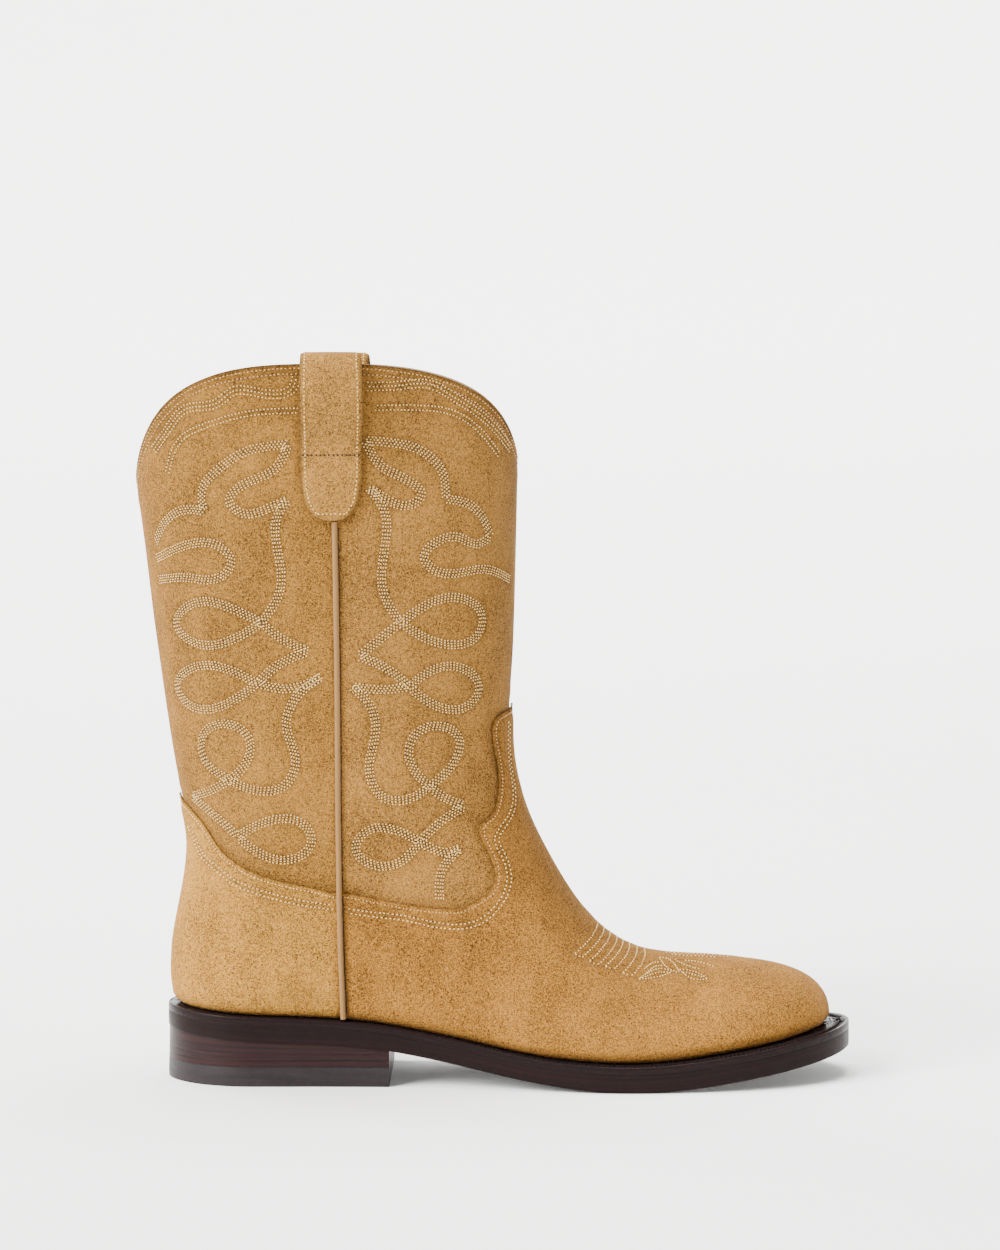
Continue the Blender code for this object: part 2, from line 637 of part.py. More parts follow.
def make_welt():
    """Leather strip stitched round the feather edge, between upper and outsole."""
    thetas = np.linspace(0, 2 * math.pi, 56, endpoint=False)
    x = plan(thetas, 0 * thetas)[:, 0]
    rings = []
    for e, lift in ((WELT_IN + 0 * x, -WELT_T), (welt_edge(x), -WELT_T), (welt_edge(x), 0),
                    (WELT_IN + 0 * x, 0)):
        p = plan(thetas, e)
        rings.append(np.column_stack([p, FEATHER(p[:, 0]) + lift]))
    points = np.stack(rings, 1).reshape(-1, 3)
    faces = []
    for k in range(56):
        a, b = 4 * k, 4 * ((k + 1) % 56)
        faces += [(a + i, b + i, b + (i + 1) % 4, a + (i + 1) % 4) for i in range(4)]
    return solid("welt", points, faces, material("welt_leather", DARK, 0.4), 30)


def make_outsole(holes):
    made = slab("outsole", ring_angles(count=33), welt_edge, welt_edge,
                lambda x: np.maximum(TREAD(x), 0), above(-WELT_T - GAP),
                material("outsole_leather", DARK, 0.35))
    cut(made, holes)
    return made


def heel_angles():
    return ring_angles(None, HEEL_BREAST, 13)


def make_heel_base(holes):
    """Wedge that levels the sloping heel seat."""
    made = slab("heel_base", heel_angles(), heel_edge(HEEL_BASE_Z), heel_edge(20), level(HEEL_BASE_Z),
                lambda x: TREAD(x) - GAP, material("heel_base_leather", DARK, 0.35), False)
    cut(made, holes)
    return made


def make_heel_lift(name, low, high, holes):
    made = slab(name, heel_angles(), heel_edge(low), heel_edge(high), level(low), level(high),
                material(name + "_leather", (0.075, 0.035, 0.035), 0.35), False)
    cut(made, holes)
    return made


def make_heel_top_lift():
    low, high = TOP_LIFT
    return slab("heel_top_lift", heel_angles(), heel_edge(low), heel_edge(high), level(low),
                level(high), material("top_lift_rubber", (0.09, 0.08, 0.082), 0.5), False)


def nail_profile(x, clearance):
    top = float(FEATHER(x)) - WELT_T - GAP - 0.6
    return [(0.25 + clearance, 8.3 + 0.9 - clearance), (1.0 + clearance, 10.4 - clearance),
            (1.1 + clearance, top - 1.2 - clearance), (2.3 + clearance, top - clearance * 0.5),
            (2.3 + clearance, top + 0.3 + (clearance and 1.5))]


def make_heel_nail(name, x, y):
    return spin(name, x, y, nail_profile(x, 0), material(name + "_steel", (0.6, 0.5, 0.3), 0.35, 1.0))


def nail_holes():
    """Guides that shape the nail holes; they are not part of the boot."""
    made = []
    for i, (x, y) in enumerate(NAILS):
        guide = spin(f"nail_hole_{i + 1}", x, y, nail_profile(x, GAP),
                     material(f"guide_{i + 1}", (0.8, 0.8, 0.8), 0.5))
        guide.hide_render, guide.display_type = True, "WIRE"
        made.append(guide)
    return made


def main():
    for old in list(bpy.data.objects):
        bpy.data.objects.remove(old, do_unlink=True)
    make_vamp()
    make_counter_cover()
    make_shaft_front()
    make_shaft_back()
    make_toe_stiffener()
    make_heel_stiffener()
    make_shaft_lining_front()
    make_shaft_lining_back()
    make_vamp_lining()
    make_counter_lining()
    make_side_piping("side_piping_outer", -1)
    make_side_piping("side_piping_inner", 1)
    make_pull_strap("pull_strap_outer", -1)
    make_pull_strap("pull_strap_inner", 1)
    make_footbed()
    make_insole_board()
    make_cork_filler()
    make_waist_filler()
    make_shank()
    make_welt()
    holes = nail_holes()
    make_outsole(holes)
    make_heel_base(holes)
    make_heel_lift("heel_lift_1", *LIFTS[0], holes)
    make_heel_lift("heel_lift_2", *LIFTS[1], holes)
    make_heel_top_lift()
    for i, (x, y) in enumerate(NAILS):
        make_heel_nail(f"heel_nail_{i + 1}", x, y)


main()
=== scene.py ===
"""Suede western boot, right foot: the visual model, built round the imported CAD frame.

Frame: +X toe, -Y outer side, +Z up. Shape numbers are millimetres, as in the CAD source; MM
turns them into metres when a mesh is made.
"""
import math

import bmesh
import bpy
import numpy as np
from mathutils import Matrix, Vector
from mathutils.geometry import delaunay_2d_cdt
from mathutils.kdtree import KDTree


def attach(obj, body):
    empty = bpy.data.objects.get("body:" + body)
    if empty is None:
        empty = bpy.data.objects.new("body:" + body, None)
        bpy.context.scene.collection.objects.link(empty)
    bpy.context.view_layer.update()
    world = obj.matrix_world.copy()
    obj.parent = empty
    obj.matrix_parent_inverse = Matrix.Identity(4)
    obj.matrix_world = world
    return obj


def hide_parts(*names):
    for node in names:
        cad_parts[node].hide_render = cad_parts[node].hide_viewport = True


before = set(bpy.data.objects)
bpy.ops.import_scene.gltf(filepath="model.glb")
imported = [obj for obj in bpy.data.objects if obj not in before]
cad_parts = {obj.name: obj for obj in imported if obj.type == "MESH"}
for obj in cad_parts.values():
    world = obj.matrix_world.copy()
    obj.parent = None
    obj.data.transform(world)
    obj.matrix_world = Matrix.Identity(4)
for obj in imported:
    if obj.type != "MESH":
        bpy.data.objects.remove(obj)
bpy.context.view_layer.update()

MM = 0.001
RIM_SIDE = 293.0  # height of the top line at the side seams
# inner and outer face of each layer of leather, outwards from the last
LINING, MIDDLE, OUTER = (-1.5, -0.3), (0.0, 1.3), (1.75, 3.0)
WALL_FOOT = 4.3  # height above the welt at which the upper turns under the foot
FLANGE_SCALE = 80.0  # millimetres turned under for each unit of level below 0
UNDER = -0.1  # level of the turned-in edge
COVER_SEAM_Z = 79.0  # where the side seam meets the edge of the vamp and counter
FRONT_FROM, BACK_FROM = 0.205, 0.2475  # levels of the lower edges of the shaft and its lining
SEAM_GAP = 0.002  # angle between the side seam and the leather on each side of it
WELT_T = 3.0
HEEL_BREAST = -42.5
STRAP_X, STRAP_HALF, STRAP_T = -65.0, 12.0, 2.4
STRAP_ROW = 1.9  # from the strap's edge to its seam
STRAP_TIP_ROW = 233.0  # height of the seam across its lower end
BAR_Z, BAR_HALF = 256.7, 11.3  # the dark cross seam of the strap
THREAD_R = 0.24
PITCH = 1.5  # from one stitch to the next
SEED = 7

# level, back x, back z, front x, front z of the last's side profile
PROFILE = [
    (0.00, -128.9, 30.3, 135.6, 20.5),
    (0.03, -129.6, 33.5, 135.6, 27.0),
    (0.06, -130.2, 37.0, 133.2, 33.0),
    (0.09, -130.7, 41.0, 127.5, 38.0),
    (0.12, -130.8, 45.0, 118.0, 41.8),
    (0.16, -130.6, 50.5, 102.0, 44.6),
    (0.20, -130.1, 56.5, 84.0, 46.3),
    (0.24, -129.0, 63.0, 66.0, 47.9),
    (0.28, -127.4, 71.0, 50.5, 53.6),
    (0.32, -125.7, 80.0, 38.0, 63.6),
    (0.36, -124.4, 89.5, 28.1, 76.4),
    (0.40, -124.2, 99.0, 19.0, 92.0),
    (0.44, -125.6, 108.5, 11.6, 107.5),
    (0.48, -127.7, 118.0, 7.3, 121.5),
    (0.54, -130.4, 132.0, 5.0, 137.0),
    (0.60, -132.6, 146.0, 4.8, 151.5),
    (0.70, -135.9, 169.5, 6.1, 172.5),
    (0.80, -139.0, 193.0, 7.0, 196.5),
    (0.90, -141.9, 218.0, 7.7, 225.0),
    (1.00, -145.6, 246.0, 8.3, 256.0),
]
# side seam: z, x
SEAM_AT = [(20, -61.0), (50, -62.2), (80, -62.9), (160, -63.1), (231, -63.8), (310, -64.6)]
# cut edges of the vamp and the counter cover, side view: x, z
VAMP_EDGE = [(8.4, 152.6), (-0.2, 149.4), (-0.6, 132), (-0.6, 113), (-2.0, 109.8), (-6.6, 105.6),
             (-6.2, 101), (-2.2, 92.4), (-0.2, 85), (-1.4, 80), (-5.8, 76.3), (-12.4, 73),
             (-23, 72.8), (-36, 74.4), (-48, 76.8), (-60, 79.2)]
COUNTER_EDGE = [(-130.5, 117), (-127, 115), (-121.8, 110.9), (-116.1, 104.5), (-111.4, 97.5),
                (-106, 92.2), (-99, 88.1), (-91.6, 85.4), (-84.3, 83.4), (-74.2, 81.3), (-66, 79.2)]


# ---------------------------------------------------------------- curves and the last surface
def spline(knots):
    """Natural cubic spline through (t, v) pairs, as a function of t."""
    t = np.array([k[0] for k in knots], float)
    v = np.array([k[1] for k in knots], float)
    n, h = len(t), np.diff(t)
    a, r = np.eye(n), np.zeros(n)
    for i in range(1, n - 1):
        a[i, i - 1:i + 2] = h[i - 1], 2 * (h[i - 1] + h[i]), h[i]
        r[i] = 6 * ((v[i + 1] - v[i]) / h[i] - (v[i] - v[i - 1]) / h[i - 1])
    m = np.linalg.solve(a, r)

    def value(x):
        x = np.asarray(x, float)
        i = np.clip(np.searchsorted(t, x) - 1, 0, n - 2)
        p = (t[i + 1] - x) / h[i]
        q = 1 - p
        bend = ((p**3 - p) * m[i] + (q**3 - q) * m[i + 1]) * h[i]**2 / 6
        return p * v[i] + q * v[i + 1] + bend
    return value


def smooth(x):
    x = np.clip(x, 0, 1)
    return x * x * (3 - 2 * x)


XB = spline([(p[0], p[1]) for p in PROFILE])
ZB = spline([(p[0], p[2]) for p in PROFILE])
XF = spline([(p[0], p[3]) for p in PROFILE])
ZF = spline([(p[0], p[4]) for p in PROFILE])
SEAM_X = spline(SEAM_AT)
# top of the welt along the boot, and the underside of the outsole
FEATHER = spline([(-140, 31.0), (-131, 30.3), (-115, 29.2), (-97, 28.2), (-80, 27.5), (-61, 26.5),
                  (-46, 24.9), (-31, 22.3), (-16, 19.5), (0, 16.2), (14, 13.6), (28, 11.8),
                  (42, 10.8), (56, 10.5), (70, 11.2), (85, 12.8), (100, 14.9), (115, 17.1),
                  (126, 18.9), (136, 20.5), (150, 22.9)])
TREAD = spline([(-140, 22.0), (-115, 19.6), (-80, 17.6), (-61, 16.7), (-46, 15.2), (-31, 12.7),
                (-16, 9.8), (0, 6.5), (14, 3.9), (28, 1.9), (40, 0.6), (50, 0.05), (57, 0.0),
                (66, 0.3), (75, 1.0), (86, 2.2), (100, 4.2), (114, 6.3), (130, 8.9),
                (141, 11.0), (150, 13.1)])
# half widths and plan centre of the last, and how deep it rounds off at the back and the front
FOOT_HALF = spline([(-131, 27), (-100, 27.6), (-60, 27.3), (-25, 27.6), (5, 31.4), (35, 36.8),
                    (60, 39.6), (85, 40), (110, 38.5), (136, 36)])
CENTRE = spline([(-131, 0), (-60, 0.2), (-20, -1.6), (20, -2.2), (50, -0.8), (80, 1.2),
                 (110, 3.2), (140, 4.6)])
SHAFT_HALF = spline([(20, 27.6), (30, 27.8), (60, 29.3), (90, 30.6), (120, 33.6), (150, 37.2),
                     (190, 41), (230, 44), (260, 45.5), (293, 46.5), (310, 46.8)])
BACK_ROUND = spline([(20, 31), (30, 31), (60, 33), (90, 40), (120, 52), (150, 62), (200, 70),
                     (260, 76), (310, 77)])
FRONT_ROUND = spline([(0, 52), (0.06, 48), (0.12, 42.5), (0.2, 41), (0.28, 44), (0.36, 49),
                      (0.44, 57), (0.54, 66), (0.7, 72), (1, 76), (1.1, 77)])
# how far the welt stands out past the upper
LIP = spline([(-131, 1.9), (-60, 2.0), (-10, 2.6), (30, 4.2), (70, 5.2), (110, 6.4), (136, 8.13)])
# the strap's half width by height, and its path: distance off the last, height
STRAP_WIDTH = spline([(230.9, 2.2), (231.7, 4.9), (233.5, 7.5), (236, 9.3), (240, 10.8),
                      (246, 11.7), (254, STRAP_HALF), (262, STRAP_HALF), (300, STRAP_HALF)])
STRAP_PATH = [(2.9, 230.9), (2.9, 231.7), (2.9, 233.5), (2.9, 236), (2.9, 240), (2.9, 246),
              (2.9, 253), (3.0, 258), (4.4, 263), (7.2, 268), (9.6, 274), (10.5, 280),
              (9.9, 286), (8.0, 291), (5.0, 294.8), (1.2, 296.4), (-2.6, 295), (-5.2, 291.4),
              (-6.2, 286), (-5.6, 278), (-4.2, 269), (-3.2, 261), (-3.0, 254), (-3.0, 248)]

LEVELS = np.linspace(0, 1.15, 240)


def profile_edge(x_at, z_at):
    """A profile as a dense polyline, run straight down below the foot: x, z, level."""
    down = np.arange(60, 0, -1.5)
    x, z = x_at(LEVELS), z_at(LEVELS)
    return (np.concatenate([x[0] + 0 * down, x]), np.concatenate([z[0] - down, z]),
            np.concatenate([0 * down, LEVELS]))


def distance(x, z, edge, inside):
    """Signed distance from a profile, softened inside bends, and the level it faces."""
    px, pz, levels = edge
    dx, dz = x[..., None] - px, z[..., None] - pz
    square = dx**2 + dz**2
    share = np.hypot(np.gradient(px), np.gradient(pz)) / (square + 1)**3
    total = share.sum(-1)
    soft = (1.178 / total)**0.2
    k = np.clip(square.argmin(-1), 1, len(px) - 2)
    true, sign = np.full(x.shape, 1e9), np.ones(x.shape)
    for i in (k - 1, k):
        ux, uz = px[i + 1] - px[i], pz[i + 1] - pz[i]
        vx, vz = x - px[i], z - pz[i]
        f = np.clip((vx * ux + vz * uz) / (ux**2 + uz**2), 0, 1)
        d = np.hypot(vx - f * ux, vz - f * uz)
        sign = np.where(d < true, np.sign((ux * vz - uz * vx) * inside), sign)
        true = np.minimum(true, d)
    mix = smooth((true - 2) / 8)
    return sign * (true + (soft - true) * mix), (share * levels).sum(-1) / total


FIELD_X, FIELD_Z = np.arange(-170.0, 160.0), np.arange(-6.0, 326.0)


def make_fields():
    """The two distances and the front level on a 1 mm grid, so that lookups are quick."""
    back, front, level = [], [], []
    for z in FIELD_Z:
        row = FIELD_X, z + 0 * FIELD_X
        back.append(distance(*row, profile_edge(XB, ZB), -1)[0])
        d, at = distance(*row, profile_edge(XF, ZF), 1)
        front.append(d)
        level.append(at)
    return np.array(back), np.array(front), np.array(level)


BACK_D, FRONT_D, FRONT_LEVEL = make_fields()


def look_up(grid, x, z):
    """Bilinear reading of a field."""
    u = np.clip(x - FIELD_X[0], 0, len(FIELD_X) - 1.001)
    v = np.clip(z - FIELD_Z[0], 0, len(FIELD_Z) - 1.001)
    i, j = u.astype(int), v.astype(int)
    u, v = u - i, v - j
    low = grid[j, i] * (1 - u) + grid[j, i + 1] * u
    return low * (1 - v) + (grid[j + 1, i] * (1 - u) + grid[j + 1, i + 1] * u) * v


def roundness(r):
    return np.sqrt(np.clip(1 - (1 - np.clip(r, 0, 1))**2, 0, 1))


def half_width(x, z):
    x, z = np.broadcast_arrays(np.asarray(x, float), np.asarray(z, float))
    level = look_up(FRONT_LEVEL, x, z)
    lift = smooth((z - 40) / 75)
    amp = (1 - lift) * FOOT_HALF(np.clip(x, -131, 136)) + lift * SHAFT_HALF(z)
    front = roundness(look_up(FRONT_D, x, z) / FRONT_ROUND(np.clip(level, 0, 1.1)))
    return amp * front * roundness(look_up(BACK_D, x, z) / BACK_ROUND(z))


def centre(x, z):
    return CENTRE(np.clip(x, -131, 140)) * (1 - smooth((z - 45) / 60))


def loop(s, t):
    """Side-view (x, z) at share s from back to front of level t."""
    xb, zb, xf, zf = XB(t), ZB(t), XF(t), ZF(t)
    x, z = xb + (xf - xb) * s, zb + (zf - zb) * s
    x0 = XB(0.) + (XF(0.) - XB(0.)) * s
    sag = (FEATHER(x0) - (ZB(0.) + (ZF(0.) - ZB(0.)) * s)) * np.clip(1 - t / 0.46, 0, 1)**2
    bow = -40 * s * (1 - s) * smooth(t / 0.12) * (1 - smooth((t - 0.2) / 0.26))
    theta = np.arccos(np.clip(1 - 2 * s, -1, 1))
    a = np.minimum(theta, math.pi - theta) / (math.pi / 2)
    soft = 0.09
    a = (np.sqrt(a * a + soft * soft) - soft) / (math.sqrt(1 + soft * soft) - soft)
    rim = (RIM_SIDE - (ZB(1.) + (ZF(1.) - ZB(1.)) * s)) * (1 - (1 - a)**2.6)
    return x, z + sag + bow + smooth((t - 0.55) / 0.45) * rim


def raw_surface(theta, t):
    theta, t = np.broadcast_arrays(np.asarray(theta, float), np.asarray(t, float))
    x, z = loop((1 - np.cos(theta)) / 2, t)
    side = np.where(np.abs(np.sin(theta)) < 1e-9, 0, np.sign(np.sin(theta)))
    return np.stack([x, centre(x, z) - side * half_width(x, z), z], -1)


def foot_levels():
    """The level at which the wall is WALL_FOOT above the welt, round the boot."""
    theta = np.linspace(0, 2 * math.pi, 721)
    low, high = np.zeros_like(theta), np.full_like(theta, 0.15)
    for _ in range(30):
        mid = (low + high) / 2
        p = raw_surface(theta, mid)
        under = p[:, 2] < FEATHER(p[:, 0]) + WALL_FOOT
        low, high = np.where(under, mid, low), np.where(under, high, mid)
    return theta, mid


FOOT_THETA, FOOT_LEVEL = foot_levels()


def wall(theta, t):
    foot = np.interp(np.mod(theta, 2 * math.pi), FOOT_THETA, FOOT_LEVEL)
    t = np.asarray(t, float)
    return raw_surface(theta, t + np.clip(1 - t / 0.3, 0, 2) * foot)


def unit(v):
    return v / np.maximum(np.linalg.norm(v, axis=-1, keepdims=True), 1e-12)


def wall_normal(theta, t):
    e = 6e-3
    a = wall(theta + e, t) - wall(theta - e, t)
    b = wall(theta, t + e) - wall(theta, t - e)
    return unit(np.cross(a, b))


def skin(theta, t, h):
    """(point, normal) h outside the last. Levels below 0 run round the feather edge."""
    theta, t = np.broadcast_arrays(np.asarray(theta, float), np.asarray(t, float))
    p, n = wall(theta, np.maximum(t, 0)), wall_normal(theta, np.maximum(t, 0))
    inward = np.maximum(-t, 0)[..., None] * FLANGE_SCALE
    under = p - unit(n * (1, 1, 0)) * inward
    under[..., 2] = np.where(inward[..., 0] > 0, FEATHER(under[..., 0]) + WALL_FOOT
                             - np.minimum(inward[..., 0], 1), p[..., 2])
    turn = np.minimum(inward, 1) * math.pi / 2
    n = unit(n * np.cos(turn) + np.array((0, 0, -1)) * np.sin(turn))
    return under + n * np.asarray(h, float)[..., None], n


def flank(x, z, side, h):
    """(point, normal) h outside the last at side-view (x, z); side is -1 outer, 1 inner."""
    x, z = np.broadcast_arrays(np.asarray(x, float), np.asarray(z, float))
    e = 0.8

    def y(a, b):
        return centre(a, b) + side * half_width(a, b)
    n = np.stack([-(y(x + e, z) - y(x - e, z)) / (2 * e), 1 + 0 * x,
                  -(y(x, z + e) - y(x, z - e)) / (2 * e)], -1)
    n = unit(n) * side
    return np.stack([x, y(x, z), z], -1) + n * np.asarray(h, float)[..., None], n


# ---------------------------------------------------------------- runs on the last
def seam_theta(t):
    """Angle of the side seam on the outer half at each level."""
    t = np.asarray(t, float)
    theta = np.full(t.shape, 1.3)
    for _ in range(16):
        p = wall(theta, np.maximum(t, 0))
        theta = np.clip(theta + (SEAM_X(p[..., 2]) - p[..., 0]) / 100, 0.4, 2.2)
    return theta


def theta_at(x, z, h=0.0):
    """(theta, t) pairs of points seen at (x, z) on the outer half, h outside the last."""
    def seen(a, b):
        return (skin(a, b, h)[0] if h else wall(a, b))[:, [0, 2]]
    q = np.stack([np.full(len(x), math.pi / 2), np.full(len(x), 0.4)], -1)
    e, low, high = 1e-4, (0.02, -0.01), (math.pi - 0.02, 1.0)
    for _ in range(40):
        p = seen(q[:, 0], q[:, 1])
        a = (seen(q[:, 0] + e, q[:, 1]) - p) / e
        b = (seen(q[:, 0], q[:, 1] + e) - p) / e
        step = np.linalg.solve(np.stack([a, b], -1), (np.stack([x, z], -1) - p)[..., None])
        q = np.clip(q + np.clip(step[..., 0], -0.2, 0.2), low, high)
    return q


def lengths(p):
    return np.concatenate([[0], np.cumsum(np.linalg.norm(np.diff(p, axis=0), axis=1))])


def read_at(where, s, values):
    """Rows of values, known at lengths s along a line, read at other lengths."""
    return np.stack([np.interp(where, s, column) for column in values.T], -1)


def even(run, step=1.3):
    """(theta, t) pairs respaced evenly along the last, ends kept."""
    run = np.array(run, float)
    s = lengths(skin(run[:, 0], run[:, 1], 0.0)[0])
    return read_at(np.linspace(0, s[-1], max(2, round(s[-1] / step) + 1)), s, run)


def across(t, a0, a1):
    return even([(a, t) for a in np.linspace(a0, a1, 500)])


def mirror(run):
    return np.column_stack([2 * math.pi - run[::-1, 0], run[::-1, 1]])


def join(*runs):
    """One closed ring from runs that each start where the last one ended."""
    return np.concatenate([run[:-1] for run in runs])


def aside(run, depth, closed=False):
    """The run moved depth millimetres to its left over the surface."""
    theta, t = run[:, 0], np.maximum(run[:, 1], 0)
    e = 2e-3
    a = (wall(theta + e, t) - wall(theta - e, t)) / (2 * e)
    b = (wall(theta, t + e) - wall(theta, t - e)) / (2 * e)
    d = np.roll(run, -1, 0) - np.roll(run, 1, 0) if closed else np.gradient(run, axis=0)
    way = unit(np.cross(np.cross(a, b), a * d[:, :1] + b * d[:, 1:])) * depth
    aa, ab, bb = (a * a).sum(-1), (a * b).sum(-1), (b * b).sum(-1)
    pa, pb = (a * way).sum(-1), (b * way).sum(-1)
    det = aa * bb - ab * ab
    return run + np.column_stack([bb * pa - ab * pb, aa * pb - ab * pa]) / det[:, None]


def inset(ring, depth):
    x, y = ring.T
    area = (x * np.roll(y, -1) - np.roll(x, -1) * y).sum()
    return aside(ring, depth * np.sign(area), True)


def side_run(t_low, t_high, shift):
    levels = np.linspace(t_low, t_high, 300)
    return even(np.column_stack([seam_theta(levels) + shift, levels]))


def front_outline(t_low, t_high):
    up = side_run(t_low, t_high, SEAM_GAP)
    a0, a1 = up[0, 0], up[-1, 0]
    return join(up, across(t_high, a1, 2 * math.pi - a1), mirror(up),
                across(t_low, 2 * math.pi - a0, a0))


def back_outline(t_low, t_high):
    up = side_run(t_low, t_high, -SEAM_GAP)
    down = up[::-1] * (-1, 1)
    a0, a1 = up[0, 0], up[-1, 0]
    return join(down, across(t_low, -a0, a0), up, across(t_high, a1, -a1))


def edge_run(points):
    """A side-view edge as evenly spaced (theta, t) pairs."""
    x, z = dense(points, 0.8).T
    return even(theta_at(x, z))


def dense(points, step=0.3):
    """A smooth curve through a few points, sampled evenly."""
    points = np.array(points, float)
    s = lengths(points)
    at = np.linspace(0, s[-1], max(3, int(s[-1] / step)))
    return np.stack([spline(list(zip(s, c)))(at) for c in points.T], -1)


def seam_level(z):
    levels = np.linspace(0, 1, 401)
    return float(np.interp(z, wall(seam_theta(levels), levels)[:, 2], levels))


def vamp_outline():
    up = side_run(UNDER, seam_level(COVER_SEAM_Z), SEAM_GAP)
    edge = edge_run(VAMP_EDGE[::-1])
    edge = np.concatenate([up[-1:], edge[edge[:, 0] > up[-1, 0] + 0.015]])
    over = across(edge[-1, 1], edge[-1, 0], 2 * math.pi - edge[-1, 0])
    return join(up, edge, over, mirror(edge), mirror(up),
                across(UNDER, 2 * math.pi - up[0, 0], up[0, 0])), edge


def counter_outline():
    up = side_run(UNDER, seam_level(COVER_SEAM_Z), -SEAM_GAP)
    edge = edge_run(COUNTER_EDGE)
    edge = np.concatenate([edge[edge[:, 0] < up[-1, 0] - 0.015], up[-1:]])
    down, back = up[::-1] * (-1, 1), edge * (-1, 1)
    return join(down, across(UNDER, -up[0, 0], up[0, 0]), up, edge[::-1],
                across(edge[0, 1], edge[0, 0], -edge[0, 0]), back), edge


# ---------------------------------------------------------------- mesh helpers
def solid(name, points, faces, stuff, angle=42, floats=None, vectors=None, slots=None, weld=True):
    """A closed mesh piece from millimetre points, riding on the boot."""
    mesh = bpy.data.meshes.new(name)
    mesh.from_pydata((np.asarray(points) * MM).tolist(), [], faces)
    for kind, width, table in (("FLOAT", "value", floats), ("FLOAT_VECTOR", "vector", vectors)):
        for key, values in (table or {}).items():
            mesh.attributes.new(key, kind, "POINT").data.foreach_set(
                width, np.asarray(values, np.float32).ravel())
    if slots is not None:
        mesh.polygons.foreach_set("material_index", np.asarray(slots, np.int32))
    for m in stuff if isinstance(stuff, (list, tuple)) else [stuff]:
        mesh.materials.append(m)
    if weld:
        work = bmesh.new()
        work.from_mesh(mesh)
        bmesh.ops.remove_doubles(work, verts=work.verts, dist=1e-6)
        bmesh.ops.recalc_face_normals(work, faces=work.faces)
        if work.calc_volume(signed=True) < 0:
            bmesh.ops.reverse_faces(work, faces=work.faces)
        work.to_mesh(mesh)
        work.free()
    mesh.shade_smooth()
    mesh.set_sharp_from_angle(angle=math.radians(angle))
    made = bpy.data.objects.new(name, mesh)
    bpy.context.scene.collection.objects.link(made)
    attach(made, "root")
    return made


def clear_of(points, ring, gap):
    """Which points lie inside the ring and further than gap from it."""
    keep = []
    a, b = ring, np.roll(ring, -1, 0)
    d = b - a
    rise = np.where(d[:, 1] == 0, 1e-12, d[:, 1])
    for part in np.array_split(points, max(1, len(points) // 1500)):
        x, y = part[:, 0][:, None], part[:, 1][:, None]
        hit = ((a[:, 1] > y) != (b[:, 1] > y)) & (x < a[:, 0] + (y - a[:, 1]) / rise * d[:, 0])
        f = np.clip(((x - a[:, 0]) * d[:, 0] + (y - a[:, 1]) * d[:, 1]) / (d**2).sum(1), 0, 1)
        near = ((x - a[:, 0] - f * d[:, 0])**2 + (y - a[:, 1] - f * d[:, 1])**2).min(1)
        keep.append((hit.sum(1) % 2 == 1) & (near > gap * gap))
    return points[np.concatenate(keep)]


def tree_of(points):
    tree = KDTree(len(points))
    for i, p in enumerate(points):
        tree.insert(p, i)
    tree.balance()
    return tree


SCALE = np.array((90.0, 250.0))  # millimetres for a unit of theta and of level, roughly
EDGE_ROUND = 0.5
# how far in from its cut edge a leather's outer rings lie, and the shade of each ring
INSETS = (0.0, 0.2, EDGE_ROUND)
CUT_EDGE, RAW_EDGE = (0.6, 0.88, 1.0), (0.2, 0.3, 0.55)
PARED, PARED_REACH = 0.8, 2.6
PARE_SHARE = 0.8  # how much of the rounding and paring shows on the face
LATTICE_GAP = 0.55  # kept between an outline's inner ring and the lattice that fills it


def fade(d, reach):
    """1 where d is 0, falling away over the reach."""
    return np.exp(-(d / reach)**2)


def gaps(tree, points):
    """Distance from each point to the nearest one of the tree."""
    return np.array([tree.find(p)[2] for p in points])


def skive(d):
    """How much thinner the leather is pared at distance d from its edge."""
    return PARED * fade(d, PARED_REACH)


